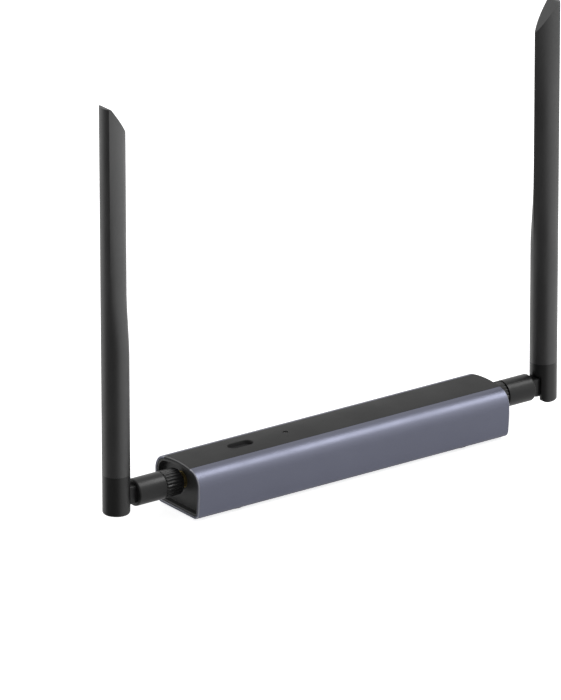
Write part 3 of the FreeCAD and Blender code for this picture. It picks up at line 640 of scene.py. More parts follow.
# %% Countersunk screw holes
head_radius = 1.9 * mm
screw_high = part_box("cap_screws")[1]
screw_x = screw_high.x - head_radius
sink = in_mm((-0.2, 0), (-0.2, 2.2), (0, 2.0), (0.9, 1.1), (2, 1.1), (2, 0))
for side in (-1, 1):
    carve(sleeve, lathe("sink", sink, (side * screw_x, 0, underside), upwards, steps=40))
print("sleeve with screw holes", len(sleeve.data.polygons))

# %% Ledges and rails finish the sleeve
bars = [sleeve]
bar_end = cap_low.x - 0.3 * mm
ledge_reach, ledge_inset, ledge_steps = 1.4 * mm, 1.9 * mm, 4
ledge_z = top - 3.5 * mm
rail_thick, board_play = 0.9 * mm, 0.08 * mm
rail_top, rail_low = board_high.z + board_play, board_low.z - board_play
rail_inner, rail_outer = board_high.y - 0.8 * mm, half_width - 0.7 * mm


def crown_at(y, inset):
    """The height of the crown, moved inwards, at a distance from the middle."""
    return crown_z + math.sqrt((crown_radius - inset) ** 2 - y ** 2)


for side in (-1, 1):
    under_lid = [lid_half - ledge_reach * (1 - k / ledge_steps) for k in range(ledge_steps + 1)]
    in_wall = [lid_half + ledge_reach * k / ledge_steps for k in range(ledge_steps + 1)]
    ledge = [(side * y, crown_at(y, wall)) for y in under_lid]
    ledge += [(side * y, crown_at(y, wall / 2)) for y in in_wall]
    ledge += [(side * y, max(crown_at(y, ledge_inset), ledge_z))
              for y in reversed(under_lid[:-1] + in_wall)]
    bars.append(prism("ledge", ledge, -bar_end, bar_end))
    back = side > 0
    for low, high in ((rail_low - rail_thick, rail_low), (rail_top, rail_top + rail_thick)):
        rail = [(side * rail_inner, low), (side * rail_inner, high),
                (side * rail_outer, high), (side * rail_outer, low)]
        stops = [-bar_end, bar_end]
        if back:
            stops = [-bar_end, shell_low.x - gap, shell_high.x + gap, bar_end]
        if back and high > rail_top:
            stops[1:1] = [usb_low.x - rim_gap, usb_high.x + rim_gap]
        bars += [prism("rail", rail, x0, x1) for x0, x1 in zip(stops[::2], stops[1::2])]
sleeve = even_skin(shade(merged("sleeve_extrusion", *bars), crease=25))

# %% [markdown]
# The edges of each end were milled after the colour, so their chamfers are bare. Their finish is also
# lighter and less metallic than bare aluminium, a painted highlight, so they show as two thin light
# lines. The faces there get the second finish; the rest keeps the anodised one.


# %% Bare metal and a painted highlight on the milled ends
def mill_ends(obj, material):
    """Gives the second finish to the chamfers, the slanted faces that lie wholly at one end."""
    # The second finish is lighter: on the sleeve bare metal with a painted highlight, on the lid a
    # painted highlight
    obj.data.materials.append(material)
    near = half_length - chamfer - 0.01 * mm
    for face in obj.data.polygons:
        xs = [obj.data.vertices[v].co.x for v in face.vertices]
        if 0.1 < abs(face.normal.x) < 0.95 and (min(xs) > near or max(xs) < -near):
            face.material_index = 1
    print("milled faces", sum(face.material_index for face in obj.data.polygons))


stand_for(sleeve, "housing_sleeve")
mill_ends(sleeve, bare_edge_and_painted_highlight)

# %% [markdown]
# ## The lid
# The lid is a strip of the same crown with the same chamfer at its ends. Below it hang two locating
# ribs, the tube of the button's well and a small boss for the lamp. They are joined to the strip, and
# then the well and the lamp's hole are cut through all of it. The well's cutter flares at its top, so
# one cut gives the hole and its chamfered lip.

# %% The strip and what hangs from it
button_low, button_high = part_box("button_cap")
lamp_low, lamp_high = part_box("light_guide")
button_x, lamp_x = (button_low.x + button_high.x) / 2, (lamp_low.x + lamp_high.x) / 2
flange = 1.8 * mm  # by how much the button's hidden flange is wider than the button
button_length = button_high.x - button_low.x - flange
button_width = button_high.y - button_low.y - flange
edge_y = lid_half - seam
rib_end, rib_y, rib_thick = cap_low.x - 0.6 * mm, lid_half - 1.5 * mm, 0.9 * mm
rib_low = crown_at(rib_y, wall) - 2.2 * mm
well_low, boss_low = top - 3.4 * mm, top - 4 * mm
tube_wider, boss_radius = 2.3 * mm, 2 * mm
hung = top - 0.6 * mm  # the tube and the boss reach up into the strip to here
ribs_hung = hung - 0.3 * mm


def lid_path(inset):
    """Over the crown from one edge of the lid to the other."""
    reach = math.asin(edge_y / (crown_radius - inset))
    return arc_points((0, crown_z), crown_radius - inset, -reach, reach, 2 * crown_steps)


def button_ring(wider, z):
    """The button's own outline, made wider all round or, below nought, narrower."""
    return stadium(button_x, 0, button_length + wider, button_width + wider, z)


lid = band("lid_with_well", lid_path)
for side in (-1, 1):
    y0, y1 = sorted((side * rib_y, side * (rib_y - rib_thick)))
    carve(lid, block(-rib_end, rib_end, y0, y1, rib_low, ribs_hung), operation="UNION")
tube = stacked("tube", [button_ring(tube_wider, z) for z in (well_low, hung)])
carve(lid, tube, rod(boss_radius, (lamp_x, 0, boss_low), (lamp_x, 0, hung)), operation="UNION")
print("lid with ribs", len(lid.data.polygons))

# %% The well and the lamp's hole
clearance, lip, flare = 0.5 * mm, 0.25 * mm, 0.5 * mm
lamp_hole, hole_low = 1 * mm, top - 5 * mm
levels = [(well_low - past, 0), (top - lip, 0), (top + lip, flare)]
well = stacked("well", [button_ring(clearance + 2 * grow, z) for z, grow in levels])
carve(lid, well, rod(lamp_hole, (lamp_x, 0, hole_low), (lamp_x, 0, top + past), steps=40))
even_skin(shade(lid, crease=25))
stand_for(lid, "top_cover")
# The lid's end chamfers get a grey much lighter than the lid: a painted highlight, not a colour of the
# plastic
mill_ends(lid, finish_of("milled_lid_edge", (0.13, 0.13, 0.135), (0.17, 0.17, 0.175), (0.4, 0.5),
                         specular=0.4, per_metre=6000.0))

# %% [markdown]
# ## The button
# The button is a small moulding, a little dished so that a fingertip finds it. It is lofted through
# stadium rings: from its stem, out to the flange that keeps it in, up its side, round its edge and
# down into the dish.

# %% The button cap
stem, flange_thick, flange_play = 3.4 * mm, 0.8 * mm, 0.15 * mm
flange_low = well_low - flange_play - flange_thick
brow, brow_steps, dish = 0.35 * mm, 5, 0.12 * mm
rings = [stadium(button_x, 0, stem, stem, z) for z in (button_low.z, flange_low)]
rings += [button_ring(flange, z) for z in (flange_low, flange_low + flange_thick)]
rings.append(button_ring(0, flange_low + flange_thick))
for k in range(brow_steps + 1):
    a = math.radians(90 * k / brow_steps)
    rings.append(button_ring(-2 * brow * (1 - math.cos(a)), button_high.z - brow * (1 - math.sin(a))))
for share in (0.25, 0.5, 0.75, 0.97):
    inset = brow + share * (button_width / 2 - brow)
    rings.append(button_ring(-2 * inset, button_high.z - dish * math.sin(math.pi / 2 * share)))
stand_for(shade(stacked("button_moulding", rings)), "button_cap")

# %% The light guide, with a slightly domed end
thin, thick = 0.95 * mm, (lamp_high.x - lamp_low.x) / 2
collar, tall = boss_low - lamp_low.z, lamp_high.z - lamp_low.z
dome_low, dome_high, dome_radius = tall - 0.15 * mm, tall - 0.04 * mm, 0.6 * mm
guide = [(0, 0), (0, thick), (collar, thick), (collar, thin), (dome_low, thin),
         (dome_high, dome_radius), (tall, 0)]
guide_rod = lathe("light_guide_rod", guide, (lamp_x, 0, lamp_low.z), upwards, steps=40)
stand_for(shade(guide_rod), "light_guide")

# %% [markdown]
# ## The end caps
# Each cap is a cup pressed into the sleeve's end: a rim just inside the wall, a plate set back inside
# it, and a skirt behind. It is cut from prisms of the same outline, and every edge gets a small
# rounding, because the thin bright line round the recess in the photograph is that edge.

# %% Cutting a cap from prisms
rim_inset, inner_inset, inner_heel = 1.1 * mm, 1.9 * mm, 0.8 * mm
recess_depth, plate_thick = 2.5 * mm, 2 * mm
plate_x = half_length - recess_depth
plate_inner_x = plate_x - plate_thick
pad_half, pad_low, pad_high = 2.5 * mm, underside + 1.5 * mm, board_low.z - 0.3 * mm
screw_core, jack_hole = 1 * mm, 3.27 * mm
cup = outline(inner_inset, inner_heel)
cap = prism("right_cap_moulding", outline(rim_inset), cap_low.x, cap_high.x)
carve(cap, prism("recess", cup, plate_x, cap_high.x + past),
      prism("hollow", cup, cap_low.x - past, plate_inner_x))
carve(cap, block(cap_low.x, plate_inner_x, -pad_half, pad_half, pad_low, pad_high), operation="UNION")
carve(cap, rod(screw_core, (screw_x, 0, underside), (screw_x, 0, board_low.z), steps=40),
      rod(jack_hole, (cap_low.x - past, *jack_axis), (cap_high.x + past, *jack_axis), steps=64))
both_ends(rounded(cap, 0.15 * mm, segments=3, crease=50), "end_cap", crease=40)

# %% [markdown]
# ## The hinged antennas
# Both ends carry the same antenna, so each piece is built once on the right and mirrored.
#
# The barrel is a short shaft with a softly rounded front rim. Its flat tongue runs between the
# knuckle's cheeks and turns about the pin.


# %% Shapes about the hinge
def fan(radius, start, end, steps):
    """Points on an arc about the pivot, seen from the front, with its angles in degrees."""
    angles = [math.radians(start + (end - start) * k / steps) for k in range(steps + 1)]
    return [(radius * math.cos(a), radius * math.sin(a)) for a in angles]


def hinge_plate(name, edge, half):
    """A plate across the hinge, from its edge seen from the front and half its thickness."""
    return stacked(name, [[(pivot.x + x, pivot.y + y, pivot.z + z) for x, z in edge]
                          for y in (-half, half)])


def hinge_rod(radius, half, steps=48):
    """A round bar through the pivot, from front to back."""
    return rod(radius, pivot - across * half, pivot + across * half, steps)


# %% The swivel barrels
shoulder = 6.8 * mm  # from the barrel's end to the pivot
barrel_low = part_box("right_barrel")[0]
length = pivot.x - shoulder - barrel_low.x
neck_radius, neck_depth = 2.65 * mm, 5.0 * mm
soft, fine = 0.7 * mm, 0.15 * mm
profile = [(neck_depth, 0), (neck_depth, neck_radius), (0, neck_radius)]
profile += quarter(fine, antenna_radius - fine, fine, start=180, steps=3)
profile += quarter(length - soft, antenna_radius - soft, soft, start=90, steps=8)
profile += [(length, 0)]
shaft = lathe("right_swivel_barrel", profile, (barrel_low.x, *jack_axis), along, steps=96)
tongue_half, tongue_radius = 2.45 * mm, 3.2 * mm
eye_radius, eye_reach = 1.3 * mm, 4 * mm
root = -shoulder - past
edge = [(root, -tongue_radius), *fan(tongue_radius, -90, 90, steps=24), (root, tongue_radius)]
tongue = rounded(hinge_plate("tongue", edge, tongue_half), 0.2 * mm, crease=60)
carve(tongue, hinge_rod(eye_radius, eye_reach))
both_ends(merged("right_swivel_barrel", shaft, tongue), "barrel", crease=40)

# %% [markdown]
# The knuckle is a stub of the same round bar, hollowed by a slot for the tongue. A flat and a rounded
# lower corner on the barrel's side let it swing through a quarter turn. Its spigot holds the blade.

# %% The hinge knuckles
below, above = 6.0 * mm, 8.8 * mm  # how far the round bar reaches from the pivot
swing = 0.8 * mm
spigot_radius, spigot_top = 3.9 * mm, above + 5 * mm
flat_x, step_z = pivot.x - 3.5 * mm, pivot.z + 4.1 * mm
slot_radius, slot_half = tongue_radius + 0.3 * mm, tongue_half + 0.1 * mm
pin_radius, pin_half = 1.25 * mm, (pin_high.y - pin_low.y) / 2
lead_radius, lead_top = 1.5 * mm, 15 * mm  # the passage for the antenna's lead
far = 6 * mm
deep = -below - past
profile = [(-below, 0)]
profile += quarter(-below + swing, antenna_radius - swing, swing, start=180, steps=8)
profile += [(above, antenna_radius), (above, spigot_radius),
            (spigot_top, spigot_radius), (spigot_top, 0)]
knuckle = lathe("right_hinge_knuckle", profile, pivot, upwards, steps=96)
corner = block(pivot.x - far, pivot.x, pivot.y - far, pivot.y + far, pivot.z + deep, pivot.z)
carve(corner, hinge_rod(below, 2 * far, steps=96))
edge = [(slot_radius, deep), *fan(slot_radius, 0, 90, steps=16), (-far, slot_radius), (-far, deep)]
slot = hinge_plate("slot", edge, slot_half)
carve(knuckle, block(pivot.x - far, flat_x, pivot.y - far, pivot.y + far, pivot.z + deep, step_z),
      corner, slot, rod(lead_radius, pivot, pivot + upwards * lead_top, steps=40),
      hinge_rod(pin_radius, pin_half, steps=40))
both_ends(rounded(knuckle, 0.12 * mm, crease=50), "knuckle", crease=40)

# %% [markdown]
# The blade is the main form. Near the hinge it is the same round bar. Higher up it keeps the round on
# its outer side, while the side towards the housing is drawn out into a keel with a narrow nose, like
# an aerofoil, and its top is cut on a slant. One rule gives every section: an outer arc, two flanks
# and a nose. The sections are set one above the other, and each column of points stops where it meets
# the slanted cut.

# %% The rule for a section
arc_steps = (28, 18, 10, 18)  # on the outer arc, the front flank, the nose and the back flank
edge_offset, nose_reach, nose_radius = 3.92 * mm, 5.0 * mm, 0.5 * mm


def through(a, b, c, steps):
    """Points on the circle through three points, from the first on; the last is left out."""
    (ax, ay), (bx, by), (cx, cy) = a, b, c
    a2, b2, c2 = ax ** 2 + ay ** 2, bx ** 2 + by ** 2, cx ** 2 + cy ** 2
    d = 2 * (ax * (by - cy) + bx * (cy - ay) + cx * (ay - by))
    ux = (a2 * (by - cy) + b2 * (cy - ay) + c2 * (ay - by)) / d
    uy = (a2 * (cx - bx) + b2 * (ax - cx) + c2 * (bx - ax)) / d
    radius = math.dist((ux, uy), a)
    start, middle, end = (math.atan2(y - uy, x - ux) for x, y in (a, b, c))
    full = 2 * math.pi
    sweep = (end - start) % full
    if (middle - start) % full > sweep:
        sweep -= full
    angles = [start + sweep * k / steps for k in range(steps)]
    return [(ux + radius * math.cos(angle), uy + radius * math.sin(angle)) for angle in angles]


def around(*arcs):
    """Joins the four arcs into one ring of points."""
    return [point for arc, steps in zip(arcs, arc_steps) for point in through(*arc, steps)]


def round_ring():
    """The round section near the hinge; its points are (towards the housing, back)."""
    brink = math.acos(-edge_offset / antenna_radius)
    tip = math.asin(nose_radius / antenna_radius)

    def at(angle):
        return antenna_radius * math.cos(angle), antenna_radius * math.sin(angle)

    return around((at(brink), at(math.pi), at(-brink)), (at(-brink), at(-(brink + tip) / 2), at(-tip)),
                  (at(-tip), at(0), at(tip)), (at(tip), at((brink + tip) / 2), at(brink)))


def keel_ring(bulge):
    """The section with a keel; the flanks bulge with this radius."""
    brink_y = math.sqrt(antenna_radius ** 2 - edge_offset ** 2)
    nose_centre = nose_reach - nose_radius
    chord = math.hypot(edge_offset + nose_centre, brink_y)
    lift = bulge - math.sqrt(bulge ** 2 - chord ** 2 / 4)
    tilt = math.atan2(brink_y - nose_radius, edge_offset + nose_centre)

    def flank(side):
        end = (nose_centre + nose_radius * math.sin(tilt), side * nose_radius * math.cos(tilt))
        start = (-edge_offset, side * brink_y)
        middle = ((start[0] + end[0]) / 2 + math.sin(tilt) * lift,
                  (start[1] + end[1]) / 2 + side * math.cos(tilt) * lift)
        return start, middle, end

    front, back = flank(-1), flank(1)
    return around((back[0], (-antenna_radius, 0), front[0]), front,
                  (front[2], (nose_reach, 0), back[2]), back[::-1])


low_bulge, high_bulge = 6.0 * mm, 15.5 * mm
base_ring, low_ring, high_ring = round_ring(), keel_ring(low_bulge), keel_ring(high_bulge)
columns = len(base_ring)
print("points round the blade", columns)

# %% Blade heights, and the slanted cut
blade_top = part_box("right_blade")[1].z - pivot.z
round_top, keel_start = 54 * mm, 76 * mm
land, drop = 1.85 * mm, 10.65 * mm  # the flat at the top, and how far the slant falls from it
land_inward = -(antenna_radius - land)
slope = drop / (nose_reach - land_inward)
cut_turns = 12


def mixed(a, b, share):
    """A point between two others."""
    return a[0] + (b[0] - a[0]) * share, a[1] + (b[1] - a[1]) * share


def section_at(k, height):
    """Point k of the ring at a height above the pivot."""
    if height <= round_top:
        return base_ring[k]
    if height < keel_start:
        t = (height - round_top) / (keel_start - round_top)
        eased = t * t * (3 - 2 * t)
        return mixed(base_ring[k], low_ring[k], eased * 0.5 + t * 0.5)
    return mixed(low_ring[k], high_ring[k], (height - keel_start) / (blade_top - keel_start))


def cut_height(k):
    """Where column k meets the slanted cut, found in turns, as the section shifts with height."""
    height = blade_top
    for _ in range(cut_turns):
        height = blade_top - slope * max(0.0, section_at(k, height)[0] - land_inward)
    return height


cuts = [cut_height(k) for k in range(columns)]
print("slanted cut from", round(min(cuts) / mm, 2), "to", round(max(cuts) / mm, 2), "mm above pivot")

# %% Lofting the blade
middle_rows, upper_rows = 10, 16
even = [above, above + 20 * mm, round_top]
even += [round_top + (keel_start - round_top) * k / middle_rows for k in range(1, middle_rows + 1)]
rows = [[height] * columns for height in even]
rows += [[keel_start + (cut - keel_start) * row / upper_rows for cut in cuts]
         for row in range(1, upper_rows + 1)]
points = [(*section_at(k, height), height) for row in rows for k, height in enumerate(row)]
points = [(pivot.x - inward, pivot.y + y, pivot.z + z) for inward, y, z in points]
faces = quads(len(rows), columns) + [tuple(range(columns))]
last = len(points) - columns
outermost, nose_tip = arc_steps[0] // 2, sum(arc_steps[:2]) + arc_steps[2] // 2
for step in range(nose_tip - outermost):
    strip = (outermost + step, outermost + step + 1, outermost - step - 1, outermost - step)
    faces += proper([[last + k % columns for k in strip]])
blade = mesh_object("right_antenna_blade", points, faces)
print("blade faces", len(blade.data.polygons))

# %% [markdown]
# A moulded blade has no knife edges, so the rim of the slanted cut and the lower rim get a small
# rounding. The bores for the radiator are cut last, out of sight.

# %% Rounding and boring the blade
rounded(blade, 0.6 * mm, segments=4, crease=28)
bores = in_mm((0, 0), (0, 3.95), (13.85, 3.95), (13.85, 3.3), (54, 3.3), (54, 2), (126, 2), (126, 0))
carve(blade, lathe("bore", bores, pivot, upwards, steps=48))
both_ends(blade, "blade", crease=28)

# %% [markdown]
# ## Pieces that repeat
# Feet, screws, contact wires and the nut's ridges are one small shape set out many times, so Geometry
# Nodes place them. Each tree has named inputs for its sizes, and ends by realizing its copies and
# setting their material. The result is turned into a plain mesh before it rides on anything.


# %% Helpers for trees that repeat a shape
def geometry_tree(name, sizes):
    """Starts a tree whose inputs are the shape to repeat, the named sizes and the finish."""
    given = {"Shape": "Geometry", **sizes, "Finish": "Material"}
    group = new_group("GeometryNodeTree", name, given, {"Shape": "Geometry"})
    group[0].is_modifier = True
    return group


def maths(tree, operation, a, b):
    """A Math node's result; a and b are sockets or numbers."""
    node = add(tree, "ShaderNodeMath", operation=operation)
    for socket, value in zip(node.inputs, (a, b)):
        if isinstance(value, (int, float)):
            socket.default_value = value
        else:
            tree.links.new(value, socket)
    return node.outputs[0]


def end_tree(tree, given, made, shape):
    """Realizes the copies and gives them their finish."""
    realize = add(tree, "GeometryNodeRealizeInstances")
    paint = add(tree, "GeometryNodeSetMaterial")
    wire(tree, shape, realize.inputs["Geometry"],
         realize.outputs["Geometry"], paint.inputs["Geometry"],
         given.outputs["Finish"], paint.inputs["Material"],
         paint.outputs["Geometry"], made.inputs["Shape"])
    return tree


def grown(obj, tree, finish, **sizes):
    """Runs a tree on an object and keeps the plain mesh that comes out."""
    modifier = obj.modifiers.new("rule", "NODES")
    modifier.node_group = tree
    sockets = {item.name: item.identifier for item in tree.interface.items_tree
               if item.in_out == "INPUT"}
    for label, value in sizes.items():
        modifier[sockets[label.replace("_", " ").title()]] = value
    modifier[sockets["Finish"]] = finish
    return settle(obj)


# %% A tree that sets a shape out in rows
def rows_tree():
    """A grid of copies, with its middle where the shape was built."""
    sizes = {"Count": 2, "Pitch": 0.01, "Rows": 1, "Row Pitch": 0.01}
    tree, given, made = geometry_tree("set_out_in_rows", sizes)
    count, pitch, rows, row_pitch = (given.outputs[label] for label in sizes)
    grid = add(tree, "GeometryNodeMeshGrid")
    place = add(tree, "GeometryNodeInstanceOnPoints")
    wire(tree, maths(tree, "MULTIPLY", maths(tree, "SUBTRACT", count, 1), pitch), grid.inputs["Size X"],
         maths(tree, "MULTIPLY", maths(tree, "SUBTRACT", rows, 1), row_pitch), grid.inputs["Size Y"],
         count, grid.inputs["Vertices X"], rows, grid.inputs["Vertices Y"],
         grid.outputs["Mesh"], place.inputs["Points"], given.outputs["Shape"], place.inputs["Instance"])
    return end_tree(tree, given, made, place.outputs["Instances"])


in_rows = rows_tree()
print("tree", in_rows.name)

# %% [markdown]
# The four feet are round rubber pads with slanted sides. The two cap screws have countersunk heads
# with a cross recess, cut before the copies are made. The eight contact wires slope down from the roof
# of the socket's bore.

# %% Feet
foot_low, foot_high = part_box("feet")
foot_radius, slant, rim_high, rim_wide = 4 * mm, 1.8 * mm, 0.05 * mm, 0.1 * mm
slanted = [(0, 0), (0, foot_radius - slant), (rim_high, foot_radius - slant + rim_wide),
           (foot_high.z - rim_high, foot_radius - rim_wide), (foot_high.z, foot_radius),
           (foot_high.z, 0)]
foot_pad = lathe("feet_pads", slanted, (0, 0, 0), upwards, steps=64)
grown(shade(foot_pad, crease=50), in_rows, finishes["foot_rubber"],
      count=2, pitch=foot_high.x - foot_low.x - 2 * foot_radius,
      rows=2, row_pitch=foot_high.y - foot_low.y - 2 * foot_radius)
stand_for(foot_pad, "feet")

# %% Screws
shank, head_edge, head_height = 1 * mm, 0.1 * mm, 0.9 * mm
point_radius, point_length = 0.6 * mm, 0.3 * mm
cross_long, cross_wide, cross_depth = 1.0 * mm, 0.18 * mm, 0.6 * mm
tip = screw_high.z - underside
turned = [(0, 0), (0, head_radius - head_edge), (head_edge, head_radius), (head_height, shank),
          (tip - point_length, shank), (tip, point_radius), (tip, 0)]
screw = lathe("cap_fixing_screws", turned, (0, 0, underside), upwards, steps=48)
carve(screw, *[block(-a, a, -b, b, underside - past, underside + cross_depth)
               for a, b in ((cross_long, cross_wide), (cross_wide, cross_long))])
grown(shade(screw), in_rows, finishes["steel"], count=2, pitch=2 * screw_x)
stand_for(screw, "cap_screws")

# %% Contact wires
wires_low, wires_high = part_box("network_jack_contacts")
wire_count, wire_width, wire_thick = 8, 0.4 * mm, 0.3 * mm
sag, bend, steps = 1.104 * mm, 1.3, 12
curve = [(wires_low.y + (wires_high.y - wires_low.y) * t, wires_high.z - sag * (1 - t) ** bend)
         for t in [k / steps for k in range(steps + 1)]]
curve += [(y, max(z - wire_thick, wires_low.z)) for y, z in reversed(curve)]
contacts = prism("network_contact_wires", curve, -wire_width / 2, wire_width / 2)
grown(shade(contacts, crease=40), in_rows, finishes["gold_plated"], count=wire_count,
      pitch=(wires_high.x - wires_low.x - wire_width) / (wire_count - 1))
contacts.data.transform(Matrix.Translation(((wires_low.x + wires_high.x) / 2, 0, 0)))
stand_for(contacts, "network_jack_contacts")

# %% [markdown]
# ## The fluted nut
# The nut's grip has 24 narrow ridges with rounded grooves between them, and tapers towards the
# housing. One ridge with half a groove on each side is a fifteen-degree wedge of a ring. The tree
# turns copies of it about the axis and merges their edges into one closed grip.


# %% A tree that repeats a wedge about the bar's axis
def ring_tree():
    """Copies of a wedge, one after the other in a full turn about X."""
    tree, given, made = geometry_tree("turn_about_axis", {"Count": 24})
    count = given.outputs["Count"]
    line = add(tree, "GeometryNodeMeshLine", {"Offset": (0, 0, 0)})
    index = add(tree, "GeometryNodeInputIndex")
    turn = add(tree, "ShaderNodeCombineXYZ")
    place = add(tree, "GeometryNodeInstanceOnPoints")
    weld = add(tree, "GeometryNodeMergeByDistance", {"Distance": 1e-6})
    real = add(tree, "GeometryNodeRealizeInstances")
    angle = maths(tree, "DIVIDE", 2 * math.pi, count)
    wire(tree, count, line.inputs["Count"],
         maths(tree, "MULTIPLY", index.outputs[0], angle), turn.inputs["X"],
         turn.outputs["Vector"], place.inputs["Rotation"],
         line.outputs["Mesh"], place.inputs["Points"], given.outputs["Shape"], place.inputs["Instance"],
         place.outputs["Instances"], real.inputs["Geometry"],
         real.outputs["Geometry"], weld.inputs["Geometry"])
    return end_tree(tree, given, made, weld.outputs["Geometry"])


about_axis = ring_tree()
print("tree", about_axis.name)

# %% One ridge of the grip, and the whole of it
grip_low, grip_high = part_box("right_nut_grip")
grip_length = grip_high.x - grip_low.x
ridges, groove_depth, steps = 24, 0.35 * mm, 10
big, small, bore = 5.0 * mm, 4.85 * mm, 3.75 * mm
lip, lip_start, lip_drop = 0.35 * mm, 0.25, 0.8
groove_power, groove_at_face = 1.4, 0.3


def ridge_section(share):
    """The grip's cut at a share of the wedge, round from its bore, as (along the axis, radius)."""
    groove = groove_depth * (0.5 + 0.5 * math.cos(2 * math.pi * share)) ** groove_power
    rim = [(lip * (lip_start + (1 - lip_start) * t),
            groove + lip * (1 - math.sin(math.pi / 2 * t)) * lip_drop) for t in (0.0, 0.5, 1.0)]
    section = [(0, bore), (0, small - lip - groove * groove_at_face)]
    section += [(x, small - lower) for x, lower in rim]
    section += [(grip_length - x, big - lower) for x, lower in reversed(rim)]
    return section + [(grip_length, big - lip - groove * groove_at_face), (grip_length, bore)]


def turn_outwards(shape):
    """Turns the faces outwards and counts the edges that lack a second face."""
    bmesh.ops.recalc_face_normals(shape, faces=shape.faces)
    print("open edges", sum(len(edge.link_faces) != 2 for edge in shape.edges))


points = []
for k in range(steps + 1):
    angle = 2 * math.pi / ridges * (k / steps)
    points += [(x, r * math.cos(angle), r * math.sin(angle)) for x, r in ridge_section(k / steps)]
wedge = bpy.data.meshes.new("wedge")
wedge.from_pydata(points, [], quads(steps + 1, len(points) // (steps + 1)))
grip = grown(link("right_nut_grip_ridges", wedge), about_axis, finishes["antenna_plastic"],
             count=ridges)
grip.data.transform(Matrix.Translation((grip_low.x, *jack_axis)))
reworked(grip.data, turn_outwards)
both_ends(grip, "nut_grip", crease=50)

# %% [markdown]
# ## The coaxial jacks
# Between the cap and the nut a little of the jack's gold thread shows. The thread is a ridge that
# follows a helix, which is a rule too: a spiral curve with a small profile swept along it.


# %% A tree that sweeps a thread ridge
def thread_tree():
    """A closed ridge that winds about X, from the origin on."""
    sizes = {"Length": 0.005, "Pitch": 0.0007, "Radius": 0.003, "Ridge": 0.0002}
    tree, given, made = geometry_tree("thread_ridge", sizes)
    length, pitch, radius, ridge = (given.outputs[label] for label in sizes)
    spiral = add(tree, "GeometryNodeCurveSpiral", {"Resolution": 40})
    ring = add(tree, "GeometryNodeCurvePrimitiveCircle", {"Resolution": 6})
    sweep = add(tree, "GeometryNodeCurveToMesh", {"Fill Caps": True})
    lay = add(tree, "GeometryNodeTransform", {"Rotation": (0, math.pi / 2, 0)})
    wire(tree, maths(tree, "DIVIDE", length, pitch), spiral.inputs["Rotations"],
         radius, spiral.inputs["Start Radius"], radius, spiral.inputs["End Radius"],
         length, spiral.inputs["Height"], ridge, ring.inputs["Radius"],
         spiral.outputs["Curve"], sweep.inputs["Curve"],
         ring.outputs["Curve"], sweep.inputs["Profile Curve"],
         sweep.outputs["Mesh"], lay.inputs["Geometry"])
    return end_tree(tree, given, made, lay.outputs["Geometry"])


thread = thread_tree()
jack_low, jack_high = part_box("right_coax_jack")
insulator_low, insulator_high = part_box("right_jack_insulator")
crest, ridge, thread_pitch = 3.12 * mm, 0.16 * mm, 0.7 * mm
# The thread starts a little past the core's end and stops short of the mouth
thread_start, thread_short = 0.3 * mm, 0.8 * mm
helix = grown(link("ridge", bpy.data.meshes.new("ridge")), thread, finishes["gold_plated"],
              length=jack_high.x - insulator_low.x - thread_short, pitch=thread_pitch,
              radius=crest - ridge, ridge=ridge)
helix.data.transform(Matrix.Translation((insulator_low.x + thread_start, *jack_axis)))
print("thread ridge faces", len(helix.data.polygons))

# %% The jack's block and core
block_end = plate_inner_x - 0.1 * mm
core, mouth_radius, seat_radius = crest - 0.2 * mm, 2.3 * mm, 2.05 * mm
slant_long, slant_deep = 0.3 * mm, 0.25 * mm
mouth, seat = jack_high.x - block_end, insulator_high.x - block_end
bore_floor = insulator_low.x - block_end
profile = [(-past, 0), (-past, core), (mouth - slant_long, core), (mouth, core - slant_deep),
           (mouth, mouth_radius), (seat, mouth_radius), (seat, seat_radius),
           (bore_floor, seat_radius), (bore_floor, 0)]
tube = lathe("tube", profile, (block_end, *jack_axis), along, steps=64)
body = rounded(block(jack_low.x, block_end, jack_low.y, jack_high.y, jack_low.z, jack_high.z), 0.3 * mm)
both_ends(merged("right_coaxial_jack", body, tube, helix), "coax_jack", crease=40)

# %% [markdown]
# ## Solids that stay
# The rest is right as it was modelled: boards, shields, sockets, pins and plugs. Round ones get a
# welded copy with smooth shading. The flat-sided ones keep their own mesh and only get their finish.

# %% Welded copies of the round pieces, finishes for the others
for kind in ("jack_insulator", "jack_contact", "nut_insert", "plug_body", "plug_insulator", "plug_pin",
             "hinge_pin", "radiator"):
    for side in ("left", "right"):
        node = f"{side}_{kind}"
        stand_for(shade(welded(node, node + "_turned"), crease=35), node)
for node, name in (("usb_shell", "power_socket_shell"), ("usb_tongue", "power_socket_tongue"),
                   ("switch_body", "button_switch"), ("switch_plunger", "button_switch_plunger")):
    stand_for(shade(welded(node, name)), node)
for node, obj in nodes.items():
    for slot in obj.material_slots:
        slot.material = finishes[slot_of[node]]

# %% [markdown]
# ## Floor, lights and camera
# The object stands on white paper. The camera sees floor and room as pure white, by light-path
# switches rather than by more light. Reflections see that white too, except to the left of the front,
# where the paper and the room turn dark for them, as behind a photographer. So the bar's front is
# even, while the round black pieces keep a dark core between their two bright sides.

# %% The side that is dark for reflections
white = (1, 1, 1, 1)
bright_way = (0.914, 0.407)  # level, and straight away from the dark side
fade_from, fade_to = -0.66, -0.16  # cosines against it: dark below the first, bright above the second


def bright_side(tree, way, sign):
    """Nought for rays that run to the dark side, one for all others; sign turns a backward vector."""
    against = add(tree, "ShaderNodeVectorMath", {1: (bright_way[0] * sign, bright_way[1] * sign, 0)},
                  operation="DOT_PRODUCT")
    fade = add(tree, "ShaderNodeMapRange", {"From Min": fade_from, "From Max": fade_to})
    wire(tree, way, against.inputs[0], against.outputs["Value"], fade.inputs["Value"])
    return fade.outputs["Result"]


